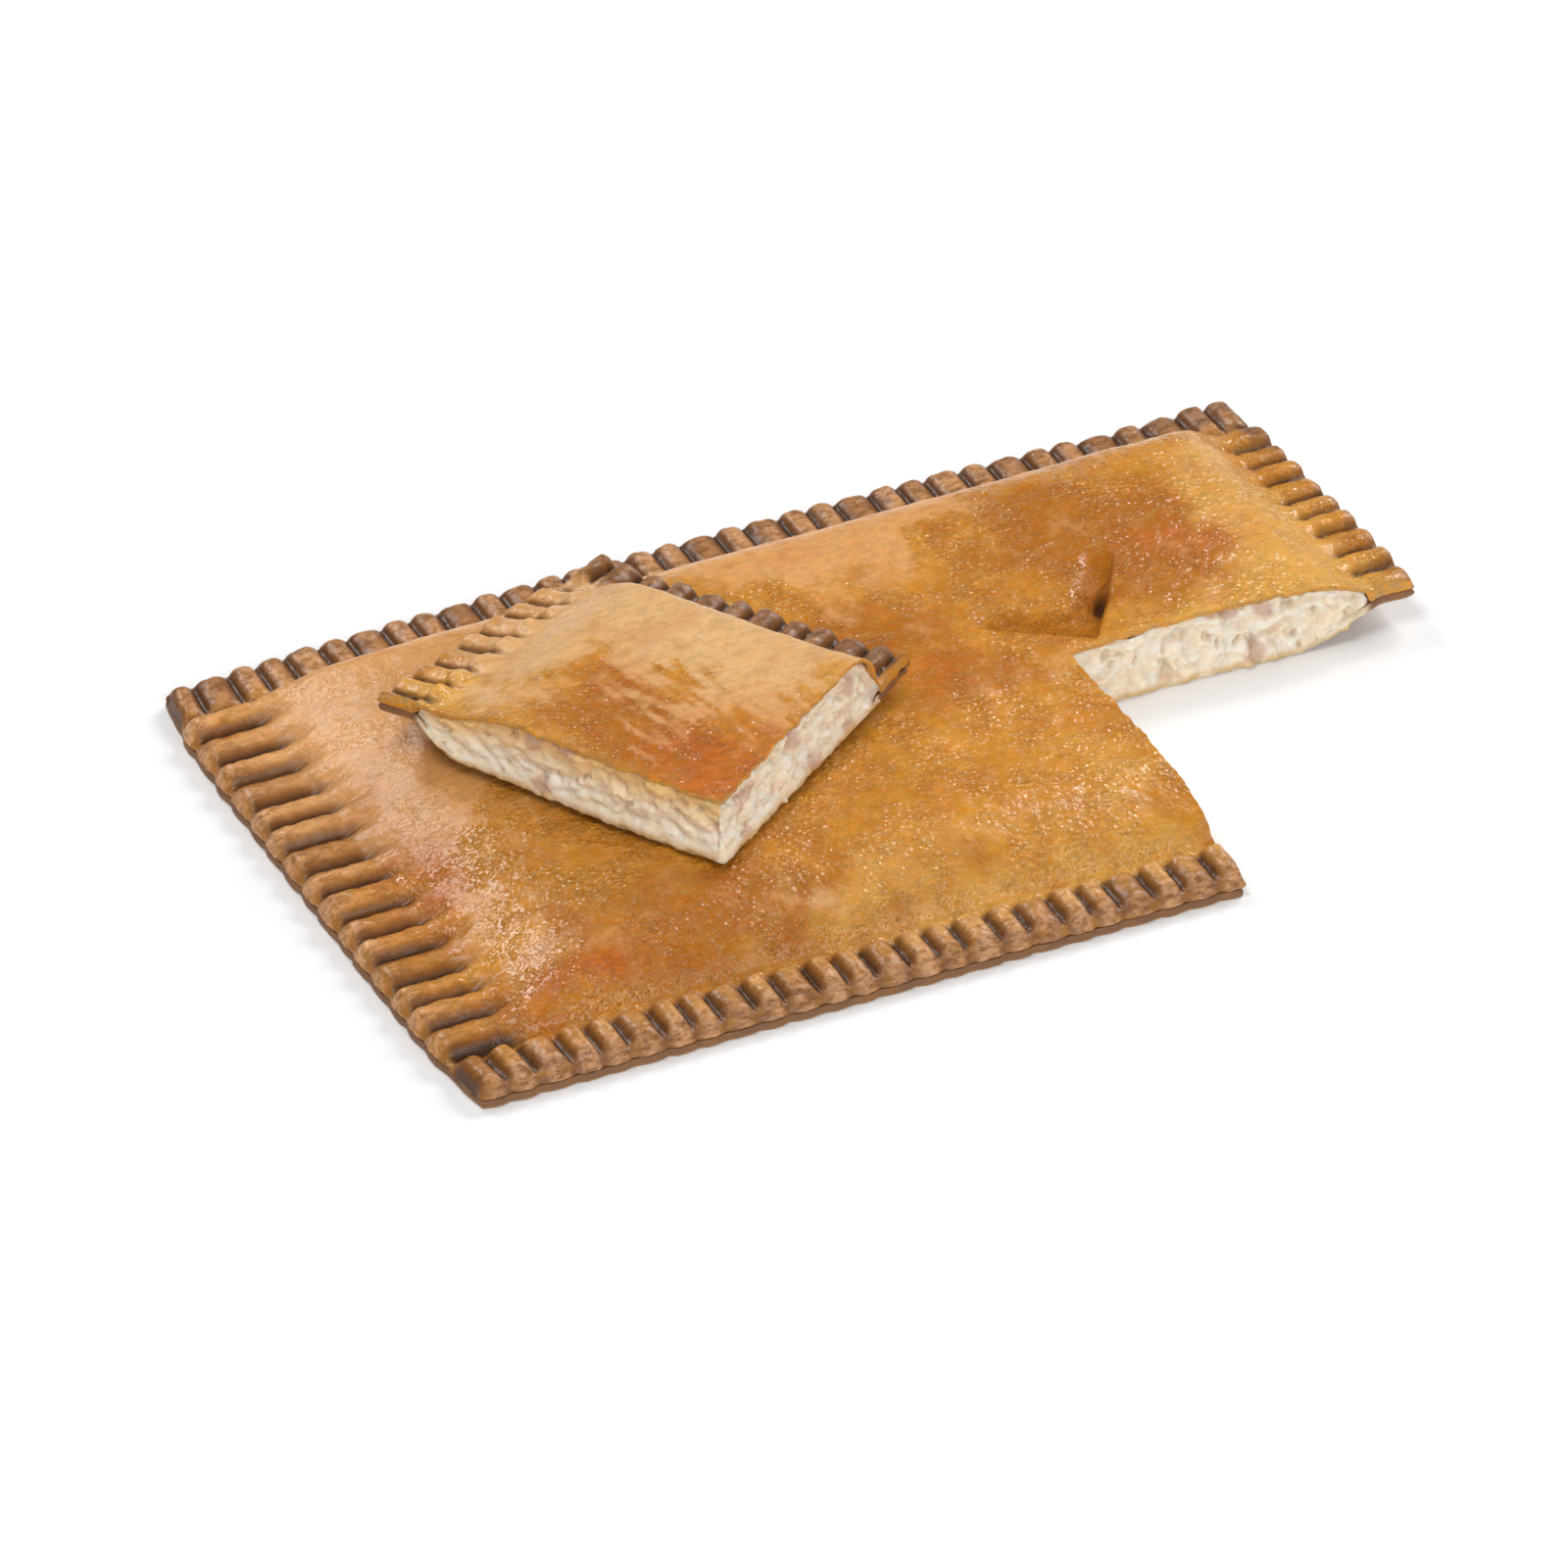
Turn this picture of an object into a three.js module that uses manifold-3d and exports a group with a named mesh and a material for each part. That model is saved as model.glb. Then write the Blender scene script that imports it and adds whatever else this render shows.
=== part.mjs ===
// Rectangular empanada: two sheets of dough crimped together all round a filling.
// One corner is cut out and lies turned on top of the rest.
// Millimetres, +Z up, long side along X, origin under the middle of the base.

import * as THREE from "three";
import { mergeVertices } from "three/addons/utils/BufferGeometryUtils.js";
import Module from "manifold-3d";

const wasm = await Module();
wasm.setup();

const { clamp, degToRad, lerp, smoothstep } = THREE.MathUtils;

// Size from corner to corner; two of the sides bulge out a little more
const LENGTH = 300;
const WIDTH = 190;
const HALF_X = LENGTH / 2;
const HALF_Y = WIDTH / 2;

// Heights above the table, from the base sheet up to the crown of the dome
const GAP = 0.3;
const BASE_SHEET = 2.2;
const SEAM_Z = BASE_SHEET + GAP;
const EDGE_Z = 3.6;
const LIP_Z = 5;
const CROWN_Z = 19.2;
const DOME = CROWN_Z - LIP_Z;
const CRUST = 2;
const FILLING_EDGE = 0.6;
const FILLING_INSET = 1.8;

// Crimped rim, side by side: its width, its ridges and their height,
// and how far in from the edge the ridges rise and sink
const CRIMPS = {
  front: { rim: 17.5, ridges: 36, seed: 0.13, height: 2.7, rise: 3, sink: 12.5, sinkRun: 4 },
  back: { rim: 15.5, ridges: 35, seed: 0.57, height: 1.3, rise: 2.5, sink: 12, sinkRun: 4.5 },
  left: { rim: 26, ridges: 15, seed: 0.31, height: 2.9, rise: 3, sink: 15, sinkRun: 13 },
  right: { rim: 15, ridges: 16, seed: 0.79, height: 2.3, rise: 2, sink: 11, sinkRun: 7 },
};

// Filled dome behind each side: where it begins, how fast and how softly it rises
const RISES = {
  front: { foot: 16.5, run: 9, ease: 1.05 },
  back: { foot: 14.5, run: 5.5, ease: 1.2 },
  left: { foot: 17, run: 17.5, ease: 1.15 },
  right: { foot: 12, run: 9.7, ease: 1.24 },
};
const SIDES = Object.keys(CRIMPS);

const GROOVE_DEPTH = 0.8;
const RIDGE_ROUND = 3;
const PITCH_JITTER = 0.12;
const HEIGHT_JITTER = 0.18;
const EDGE_ROUND = 3;
const SCALLOP = 0.9;
const SCALLOP_REACH = 6;
const GOLDEN = 0.6180339887;

// Sides that bulge out between their corners: how far, how evenly along the side and how far in it is felt.
// The whole is shifted so that its middle stays at the origin.
const BOWS = { left: { out: 2.8, even: 6 }, back: { out: 4.6, even: 2 } };
const BOW_REACH = 38;
const SHIFT = { x: BOWS.left.out / 2, y: -BOWS.back.out / 2 };

// Shape of the dome: how the sides join in the corners,
// and between which shares of its height the unevenness comes in
const CORNER_NORM = 5;
const UNEVEN_FROM = 0.25;
const UNEVEN_FULL = 0.8;

// Broad waves of the dome, the slumped front slope beside the cut, the fuller back right,
// and the right rim that curls up from the table and then runs level
const WAVES = {
  height: 0.45,
  crossed: { u: 0.052, v: 0.081, phaseU: 0.6, phaseV: 1.1, share: 0.6 },
  slanted: { u: 0.096, v: -0.044, phase: 0, share: 0.4 },
};
const SLUMP = { x: 57, y: -50, depth: 2.6, run: 32 };
const PUFF = { x: 100, y: 48, depth: -2, run: 38 };
const CURL = { y: -6, height: 7.5, run: 75, level: 11.5 };

// The rest of the empanada slumps beside the cut and its rim curls up from further in.
// The cut corner is fuller, with a narrower front rim.
const BODY = { crimps: CRIMPS, rises: RISES, settled: [SLUMP, PUFF], lift: { start: 36, power: 1.8 } };
const CORNER = {
  crimps: {
    ...CRIMPS,
    front: { ...CRIMPS.front, rim: 14, sink: 9.5 },
    right: { ...CRIMPS.right, height: 1.6 },
  },
  rises: {
    ...RISES,
    front: { foot: 13, run: 3.6, ease: 1.2 },
    right: { foot: 10, run: 11, ease: 1.3 },
  },
  settled: [],
  lift: { start: 23.5, power: 2.2 },
};

// The cut: its inner corner on top, how far its front end lies to the right of that, how its faces bow.
// The leans say how far the foot of each face stands out of the top edge, to the left and to the front.
const CUT = { x: 53, y: -5.3, skew: 4.6, bow: 0.8 };
const BODY_LEAN = { left: 0, front: 2.6 };
const PIECE_LEAN = { left: 2, front: -0.8 };
const LUMPS = {
  height: 1.1,
  crossed: { u: 0.52, v: 0.45, phaseU: 0.4, phaseV: 0.9, share: 0.6 },
  slanted: { u: 1.13, v: -0.7, phase: 2.1, share: 0.4 },
};
const KNIFE_MARGIN = 12;
const KNIFE_TOP = 32;

// How the cut corner lies on top: turn about the vertical and place of its outer corner.
// Its front end is warped up, its curled rim spreads and droops, its outer corner sags and is tucked in.
const PIECE = { turn: 121.2, x: -38.9, y: 77.4, rest: 20.06 };
const BEND = {
  warp: 3.6,
  droop: 4, droopRun: 24, droopPower: 0.6,
  spread: 4.5, spreadFrom: 36, spreadTo: 8,
  sag: 2, sagRun: 28,
  tuck: 5, tuckRun: 20,
};

// Mesh fineness: ring positions in rim widths, cell sizes and samples across one ridge
const RIM_RINGS = [0, 0.07, 0.2, 0.4, 0.6, 0.8, 1];
const RIDGE_SAMPLES = [0, 0.3, 0.7];
const LEVEL_RING = 0.77;
const FOOT_RING = 1.1;
const WALL_RING = 1.22;
const CORE_RING = 1.3;
const SHOULDER_RING = 1.55;
const CROWN_RING = 2.1;
const DOME_CELL = 13;
const BASE_CELL = 26;

// Fineness and roughness of the cut through each kind of food
const CRUST_CUT = [8.4, 0];
const FILLING_CUT = [4.2, 1];

// Even, repeatable scatter between -1 and 1
function wobble(index, seed) {
  const turns = index * GOLDEN + seed;
  return 2 * (turns - Math.floor(turns)) - 1;
}

// Distances from a point to the four edges
function edgeDistances(x, y) {
  return { front: y + HALF_Y, back: HALF_Y - y, left: x + HALF_X, right: HALF_X - x };
}

const isLong = (name) => name === "front" || name === "back";

// Where the grooves of one side lie along it: the long sides run through the corners
function grooves(name) {
  const { ridges, seed } = CRIMPS[name];
  const start = isLong(name) ? -HALF_X : -HALF_Y + CRIMPS.front.rim;
  const end = isLong(name) ? HALF_X : HALF_Y - CRIMPS.back.rim;
  const pitch = (end - start) / ridges;
  const places = [];
  for (let i = 0; i <= ridges; i++) {
    const shift = i === 0 || i === ridges ? 0 : PITCH_JITTER * wobble(i, seed);
    places.push(start + pitch * (i + shift));
  }
  return places;
}

const GROOVES = Object.fromEntries(SIDES.map((name) => [name, grooves(name)]));

// Height of the ridge at a place along a side: 0 in a groove, about 1 on a crest
function ridgeAt(name, along) {
  const places = GROOVES[name];
  const last = places.length - 1;
  if (along <= places[0] || along >= places[last]) return 0;
  const next = places.findIndex((place) => place > along);
  const phase = (along - places[next - 1]) / (places[next] - places[next - 1]);
  const round = 1 - Math.abs(2 * phase - 1) ** RIDGE_ROUND;
  return round * (1 + HEIGHT_JITTER * wobble(next, CRIMPS[name].seed + GOLDEN / 2));
}

// How much of the ridges shows at a distance in from the edge
function ridgeReach({ rise, sink, sinkRun }, distance) {
  return smoothstep(distance, 0, rise) * (1 - smoothstep(distance, sink, sink + sinkRun));
}

// Crimps above and below the lip; the short sides' crimps stop at the long sides' rims
function crimp(x, y, { crimps }) {
  const away = edgeDistances(x, y);
  const inLong = Math.min(away.front, away.back);
  const corner = smoothstep(inLong, CRIMPS.front.sink, CRIMPS.front.sink + CRIMPS.front.sinkRun);
  let height = 0;
  for (const name of SIDES) {
    const reach = ridgeReach(crimps[name], away[name]) * (isLong(name) ? 1 : corner);
    if (reach === 0) continue;
    const ridge = ridgeAt(name, isLong(name) ? x : y);
    height += reach * (crimps[name].height * ridge - GROOVE_DEPTH * Math.max(0, 1 - ridge));
  }
  return height;
}

// Rise of the dome behind one side, as a share of its full height
function riseShare({ foot, run, ease }, distance) {
  return 1 - Math.exp(-((Math.max(0, distance - foot) / run) ** ease));
}

// Uneven surface made of a crossed and a slanted wave
function uneven(u, v, { height, crossed, slanted }) {
  const cross = Math.sin(crossed.u * u + crossed.phaseU) * Math.sin(crossed.v * v + crossed.phaseV);
  const slant = Math.sin(slanted.u * u + slanted.v * v + slanted.phase);
  return height * (crossed.share * cross + slanted.share * slant);
}

// Filled dome above the lip: what each side still lacks is added up as a norm
function dome(x, y, { rises, settled }) {
  const away = edgeDistances(x, y);
  let lack = 0;
  for (const name of SIDES) lack += (1 - riseShare(rises[name], away[name])) ** CORNER_NORM;
  const share = Math.max(0, 1 - lack ** (1 / CORNER_NORM));
  let drop = WAVES.height - uneven(x, y, WAVES);
  for (const place of settled) {
    const reach = Math.hypot(x - place.x, y - place.y) / place.run;
    drop += place.depth * Math.exp(-(reach ** 2));
  }
  return DOME * share - drop * smoothstep(share, UNEVEN_FROM, UNEVEN_FULL);
}

// The right rim curls up from the table, most of all at the cut
function curl(x, y, { lift }) {
  const away = HALF_X - x;
  const out = clamp((lift.start - away) / (lift.start - CURL.level), 0, 1) ** lift.power;
  return CURL.height * out * Math.exp(-(((y - CURL.y) / CURL.run) ** 2));
}

function topHeight(x, y, form) {
  const away = edgeDistances(x, y);
  let edge = 1;
  for (const name of SIDES) {
    const short = 1 - clamp(away[name] / EDGE_ROUND, 0, 1);
    edge *= Math.sqrt(1 - short * short);
  }
  return lerp(EDGE_Z, LIP_Z, edge) + crimp(x, y, form) + dome(x, y, form) + curl(x, y, form);
}

// Whether a point lies further in than a number of rim widths from every edge
function isInside(x, y, widths, { crimps }) {
  const away = edgeDistances(x, y);
  return SIDES.every((name) => away[name] > widths * crimps[name].rim);
}

// Upper side of the base sheet, or what lies a little above it
function seamHeight(x, y, form) {
  return SEAM_Z + curl(x, y, form);
}

// Underside of the top sheet: along the seam at the rim, hollow over the filling
function hollowHeight(x, y, form) {
  if (!isInside(x, y, CORE_RING, form)) return seamHeight(x, y, form);
  return LIP_Z - CRUST + dome(x, y, form) + curl(x, y, form);
}

function fillingHeight(x, y, form) {
  const isCore = isInside(x, y, CORE_RING, form);
  return isCore ? hollowHeight(x, y, form) - GAP : seamHeight(x, y, form) + FILLING_EDGE;
}

// The outline follows the ridges: crests reach the full size, grooves stay behind; two sides bulge
function outlined(x, y) {
  const away = edgeDistances(x, y);
  const inset = (name, along) => {
    const near = Math.max(0, 1 - away[name] / SCALLOP_REACH);
    return near * SCALLOP * Math.max(0, 1 - ridgeAt(name, along));
  };
  const bow = (name, share) => {
    const near = 1 - smoothstep(away[name], 0, BOW_REACH);
    return near * BOWS[name].out * (1 - Math.abs(share) ** BOWS[name].even);
  };
  return [
    x + inset("left", y) - inset("right", y) - bow("left", y / HALF_Y),
    y + inset("front", x) - inset("back", x) + bow("back", x / HALF_X),
  ];
}

// Places along a side at which the ridges are sampled
function ridgeStations(name) {
  const places = GROOVES[name];
  const stations = [];
  for (let i = 0; i + 1 < places.length; i++) {
    for (const share of RIDGE_SAMPLES) stations.push(lerp(places[i], places[i + 1], share));
  }
  return stations;
}

function evenStations(half, cell) {
  const count = Math.round((2 * half) / cell);
  return Array.from({ length: count + 1 }, (_, i) => lerp(-half, half, i / count));
}

function fineStations() {
  return Object.fromEntries(SIDES.map((name) => [name, ridgeStations(name)]));
}

function coarseStations(cell) {
  const alongX = evenStations(HALF_X, cell);
  const alongY = evenStations(HALF_Y, cell);
  return { front: alongX, back: alongX, left: alongY, right: alongY };
}

// One ring of points, widths rim widths in from the edge, as four sides that run anticlockwise
function ring({ crimps }, widths, stations, extra = 0) {
  const margin = 1;
  const inset = (name) => widths * crimps[name].rim + extra;
  const low = [-HALF_X + inset("left"), -HALF_Y + inset("front")];
  const high = [HALF_X - inset("right"), HALF_Y - inset("back")];
  const between = (name, axis) => {
    const inside = stations[name].filter((s) => s > low[axis] + margin && s < high[axis] - margin);
    return [low[axis], ...inside, high[axis]];
  };
  return [
    between("front", 0).map((x) => [x, low[1]]),
    between("right", 1).map((y) => [high[0], y]),
    between("back", 0).reverse().map((x) => [x, high[1]]),
    between("left", 1).reverse().map((y) => [low[0], y]),
  ];
}

// Triangles between an outer and an inner ring, side by side
function zip(outer, inner) {
  const triangles = [];
  for (let side = 0; side < 4; side++) {
    const axis = side % 2;
    const sign = side < 2 ? 1 : -1;
    const [a, b] = [outer[side], inner[side]];
    let [i, j] = [0, 0];
    while (i + 1 < a.length || j + 1 < b.length) {
      const outerFirst = () => sign * (a[i + 1][axis] - b[j + 1][axis]) < 0;
      if (j + 1 === b.length || (i + 1 < a.length && outerFirst())) {
        triangles.push([a[i], a[i + 1], b[j]]);
        i += 1;
      } else {
        triangles.push([a[i], b[j + 1], b[j]]);
        j += 1;
      }
    }
  }
  return triangles;
}

// Cells that fill the innermost ring, whose opposite sides have the same places
function fill(inner) {
  const xs = inner[0].map(([x]) => x);
  const ys = inner[1].map(([, y]) => y);
  const triangles = [];
  for (let i = 0; i + 1 < xs.length; i++) {
    for (let j = 0; j + 1 < ys.length; j++) {
      const corners = [[xs[i], ys[j]], [xs[i + 1], ys[j]], [xs[i + 1], ys[j + 1]], [xs[i], ys[j + 1]]];
      triangles.push([corners[0], corners[1], corners[2]], [corners[0], corners[2], corners[3]]);
    }
  }
  return triangles;
}

function surface(rings) {
  const triangles = fill(rings[rings.length - 1]);
  for (let i = 0; i + 1 < rings.length; i++) triangles.push(...zip(rings[i], rings[i + 1]));
  return triangles;
}

function solidFromTriangles(triangles) {
  const corners = new Float32Array(triangles.flat(2));
  const soup = new THREE.BufferGeometry();
  soup.setAttribute("position", new THREE.BufferAttribute(corners, 3));
  const joined = mergeVertices(soup);
  return new wasm.Manifold(new wasm.Mesh({
    numProp: 3,
    vertProperties: joined.getAttribute("position").array,
    triVerts: Uint32Array.from(joined.index.array),
  }));
}

// Closed sheet between an upper and a lower height; both have the same outermost ring
function sheet(upperRings, upper, lowerRings, lower) {
  const at = (height) => ([x, y]) => [...outlined(x, y), height(x, y)];
  const raise = at(upper);
  const drop = at(lower);
  const triangles = surface(upperRings).map((corners) => corners.map(raise));
  for (const [a, b, c] of surface(lowerRings)) triangles.push([drop(a), drop(c), drop(b)]);
  for (const side of upperRings[0]) {
    for (let i = 0; i + 1 < side.length; i++) {
      const [a, b] = [side[i], side[i + 1]];
      triangles.push([drop(a), drop(b), raise(b)], [drop(a), raise(b), raise(a)]);
    }
  }
  return solidFromTriangles(triangles);
}

// Rings that the sheets share along the seam, and those over the shoulder of the dome
function seamRings(form) {
  const level = ring(form, LEVEL_RING, coarseStations(DOME_CELL));
  return [ring(form, 0, fineStations()), level, ring(form, FOOT_RING, coarseStations(BASE_CELL))];
}

function shoulderRings(form) {
  return [SHOULDER_RING, CROWN_RING].map((widths) => ring(form, widths, coarseStations(DOME_CELL)));
}

function fillingFoot(form) {
  return ring(form, FOOT_RING, coarseStations(BASE_CELL), FILLING_INSET);
}

function fillingFloor(form) {
  return [fillingFoot(form), ring(form, SHOULDER_RING, coarseStations(BASE_CELL))];
}

// The three layers of the whole empanada
function wholeTopCrust(form) {
  const fine = fineStations();
  const rim = RIM_RINGS.map((widths) => ring(form, widths, fine));
  const wall = ring(form, WALL_RING, coarseStations(DOME_CELL));
  const above = [...rim, wall, ...shoulderRings(form)];
  const below = [...seamRings(form), ...shoulderRings(form)];
  return sheet(above, (x, y) => topHeight(x, y, form), below, (x, y) => hollowHeight(x, y, form));
}

function wholeFilling(form) {
  const above = [fillingFoot(form), ...shoulderRings(form)];
  const seam = (x, y) => seamHeight(x, y, form);
  return sheet(above, (x, y) => fillingHeight(x, y, form), fillingFloor(form), seam);
}

function wholeBottomCrust(form) {
  const rings = [...seamRings(form), ...fillingFloor(form)];
  return sheet(rings, (x, y) => seamHeight(x, y, form) - GAP, rings, (x, y) => curl(x, y, form));
}

// Outline of the cut-out corner at one height: inner corner, back face, outside, left face
function knifeOutline(z, cell, rough, lean) {
  const far = { x: HALF_X + KNIFE_MARGIN, y: -HALF_Y - KNIFE_MARGIN };
  const low = 1 - z / CROWN_Z;
  const inner = { x: CUT.x - low * lean.left, y: CUT.y - low * lean.front };
  const backCount = Math.round((far.x - CUT.x) / cell);
  const leftCount = Math.round((CUT.y - far.y) / cell);
  const points = [];
  for (let i = 0; i <= leftCount; i++) {
    const share = i / leftCount;
    const y = lerp(far.y, inner.y, share);
    const bow = CUT.bow * Math.sin(Math.PI * share);
    const relief = i === leftCount ? 0 : rough * uneven(y, z, LUMPS);
    points.push([inner.x + CUT.skew * (1 - share) + bow + relief, y]);
  }
  for (let i = 1; i <= backCount; i++) {
    const share = i / backCount;
    const x = lerp(inner.x, far.x, share);
    const bow = CUT.bow * Math.sin(2 * Math.PI * share);
    points.push([x, inner.y + bow + rough * uneven(x + LENGTH, z, LUMPS)]);
  }
  points.push([far.x, far.y]);
  return points.reverse();
}

// Solid over the cut-out corner, lofted through its outlines
function knife(cell, rough, lean) {
  const levels = Math.round(KNIFE_TOP / cell);
  const outlines = [];
  for (let k = 0; k <= levels; k++) {
    const z = lerp(-KNIFE_MARGIN / 2, KNIFE_TOP, k / levels);
    outlines.push(knifeOutline(z, cell, rough, lean).map(([x, y]) => [x, y, z]));
  }
  const triangles = [];
  const count = outlines[0].length;
  for (let k = 0; k < levels; k++) {
    for (let i = 0; i < count; i++) {
      const j = (i + 1) % count;
      const [low, high] = [outlines[k], outlines[k + 1]];
      triangles.push([low[i], low[j], high[j]], [low[i], high[j], high[i]]);
    }
  }
  for (const [outline, up] of [[outlines[0], false], [outlines[levels], true]]) {
    const contour = outline.map(([x, y]) => new THREE.Vector2(x, y));
    for (const [a, b, c] of THREE.ShapeUtils.triangulateShape(contour, [])) {
      triangles.push((up ? [a, b, c] : [a, c, b]).map((index) => outline[index]));
    }
  }
  return solidFromTriangles(triangles);
}

// Mesh of one piece in the colour of its food
function piece(name, solid, look) {
  const { vertProperties, triVerts } = solid.getMesh();
  const geometry = new THREE.BufferGeometry();
  geometry.setAttribute("position", new THREE.BufferAttribute(Float32Array.from(vertProperties), 3));
  geometry.setIndex(new THREE.BufferAttribute(Uint32Array.from(triVerts), 1));
  geometry.computeVertexNormals();
  const mesh = new THREE.Mesh(geometry, new THREE.MeshStandardMaterial({ metalness: 0, ...look }));
  mesh.name = name;
  return mesh;
}

// Bends the cut corner as it lies, and puts its outer corner at the mesh's own origin
function bendAndRecentre(mesh) {
  const place = mesh.geometry.getAttribute("position");
  const [spanX, spanY] = [HALF_X - CUT.x, HALF_Y + CUT.y];
  for (let i = 0; i < place.count; i++) {
    const x = place.getX(i) - HALF_X;
    const y = place.getY(i) + HALF_Y;
    const warp = BEND.warp * Math.max(0, -x / spanX - y / spanY) ** 2;
    const along = Math.sin(Math.PI * clamp(y / spanY, 0, 1)) ** BEND.droopPower;
    const droop = BEND.droop * along * smoothstep(x, -BEND.droopRun, 0);
    const spread = BEND.spread * smoothstep(x, -BEND.spreadFrom, -BEND.spreadTo);
    const sag = BEND.sag * Math.exp(-(x * x + y * y) / BEND.sagRun ** 2);
    const tuck = BEND.tuck * Math.exp(-(x * x + y * y) / BEND.tuckRun ** 2);
    place.setXYZ(i, x + spread - tuck, y, place.getZ(i) + warp - droop - sag);
  }
  mesh.geometry.computeVertexNormals();
  return mesh;
}

function build() {
  const layers = [
    ["top_crust", wholeTopCrust, CRUST_CUT, { color: 0xb5813c, roughness: 0.45 }],
    ["filling", wholeFilling, FILLING_CUT, { color: 0xd9c6a0, roughness: 0.6 }],
    ["bottom_crust", wholeBottomCrust, CRUST_CUT, { color: 0xc39a5b, roughness: 0.7 }],
  ];
  const corner = new THREE.Group();
  corner.name = "corner_piece";
  corner.rotation.z = degToRad(PIECE.turn);
  corner.position.set(PIECE.x, PIECE.y, PIECE.rest);
  const empanada = new THREE.Group();
  empanada.name = "empanada";
  for (const [name, whole, cut, look] of layers) {
    const rest = whole(BODY).subtract(knife(...cut, BODY_LEAN));
    const wedge = whole(CORNER).intersect(knife(...cut, PIECE_LEAN));
    empanada.add(piece(name, rest, look));
    corner.add(bendAndRecentre(piece(`corner_${name}`, wedge, look)));
  }
  empanada.add(corner);
  for (const part of empanada.children) part.position.add(new THREE.Vector3(SHIFT.x, SHIFT.y, 0));
  return empanada;
}

export default build();
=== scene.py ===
"""Looks of the cut empanada and the corner piece on top of it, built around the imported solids."""

import math
from collections import namedtuple
from functools import cache

import bpy
import numpy as np
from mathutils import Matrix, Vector


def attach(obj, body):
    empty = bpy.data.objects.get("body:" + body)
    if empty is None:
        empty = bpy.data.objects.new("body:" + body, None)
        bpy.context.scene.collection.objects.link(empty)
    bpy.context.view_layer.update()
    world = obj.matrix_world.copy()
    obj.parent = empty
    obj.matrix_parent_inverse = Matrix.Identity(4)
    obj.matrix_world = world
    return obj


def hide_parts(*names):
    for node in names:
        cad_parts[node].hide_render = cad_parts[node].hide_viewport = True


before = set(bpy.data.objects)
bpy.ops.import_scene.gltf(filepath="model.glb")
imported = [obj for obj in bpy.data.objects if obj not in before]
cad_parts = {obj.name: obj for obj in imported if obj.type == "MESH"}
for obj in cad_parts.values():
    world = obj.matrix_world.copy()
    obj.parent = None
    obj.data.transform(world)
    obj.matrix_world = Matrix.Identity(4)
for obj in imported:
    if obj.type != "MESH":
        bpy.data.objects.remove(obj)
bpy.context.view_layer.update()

MM = 0.001

# Sizes of the solids in millimetres: the rectangle, the sheets and the dome
HALF_X = 150.0
HALF_Y = 95.0
BASE_SHEET = 2.2
SEAM_Z = 2.5
EDGE_Z = 3.6
LIP_Z = 5.0
CROWN_Z = 19.2
DOME = CROWN_Z - LIP_Z
CRUST = 2.0

# Crimped rim of each side: width, ridges and their height, and how far in they begin, rise and sink
CRIMPS = {
    "front": dict(rim=17.5, ridges=36, seed=0.13, height=2.7, lip=2.0, rise=5.0, sink=12.5, sink_run=4.0),
    "back": dict(rim=15.5, ridges=35, seed=0.57, height=1.3, lip=0.0, rise=2.5, sink=12.0, sink_run=4.5),
    "left": dict(rim=26.0, ridges=15, seed=0.31, height=2.9, lip=0.5, rise=3.5, sink=15.0, sink_run=13.0),
    "right": dict(rim=15.0, ridges=16, seed=0.79, height=2.3, lip=0.0, rise=2.0, sink=11.0, sink_run=7.0),
}
PIECE_CRIMPS = {
    **CRIMPS,
    "front": {**CRIMPS["front"], "rim": 14.0, "lip": 0.0, "rise": 3.0, "sink": 9.5},
    "right": {**CRIMPS["right"], "height": 1.6},
}

# Rise of the dome behind each side: where it begins, how fast and how softly
BODY_RISES = {
    "front": dict(foot=16.5, run=9.0, ease=1.05),
    "back": dict(foot=14.5, run=5.5, ease=1.2),
    "left": dict(foot=17.0, run=17.5, ease=1.15),
    "right": dict(foot=12.0, run=9.7, ease=1.24),
}
PIECE_RISES = {
    **BODY_RISES,
    "front": dict(foot=13.0, run=3.6, ease=1.2),
    "right": dict(foot=10.0, run=11.0, ease=1.3),
}
LONG_SIDES = ("front", "back")

# Shape of the ridges, and how the edge follows them
GROOVE_DEPTH = 0.8
RIDGE_ROUND = 2.4
PITCH_JITTER = 0.12
HEIGHT_JITTER = 0.18
EDGE_ROUND = 3.0
SCALLOP = 0.9
SCALLOP_REACH = 6.0
GOLDEN = 0.6180339887

# Dome: how it rounds its corners, its waves and settled places, and the lifted right rim
CORNER_NORM = 5.0
UNEVEN_FROM = 0.25
UNEVEN_FULL = 0.8
WAVES = dict(height=0.45, crossed=(0.052, 0.081, 0.6, 1.1, 0.6), slanted=(0.096, -0.044, 0.0, 0.4))
SLUMP = dict(x=57.0, y=-50.0, depth=2.6, run=32.0)
PUFF = dict(x=100.0, y=48.0, depth=-2.0, run=38.0)
CURL = dict(y=-6.0, height=7.5, run=75.0, level=11.5)
BODY_LIFT = dict(start=36.0, power=1.8)
PIECE_LIFT = dict(start=23.5, power=2.2)

# Sides that bulge out between their corners, and the shift that keeps the middle at the origin
BOWS = {"left": dict(out=2.8, even=6), "back": dict(out=4.6, even=2)}
BOW_REACH = 38.0
SHIFT = np.array([BOWS["left"]["out"] / 2, -BOWS["back"]["out"] / 2, 0.0])

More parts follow.
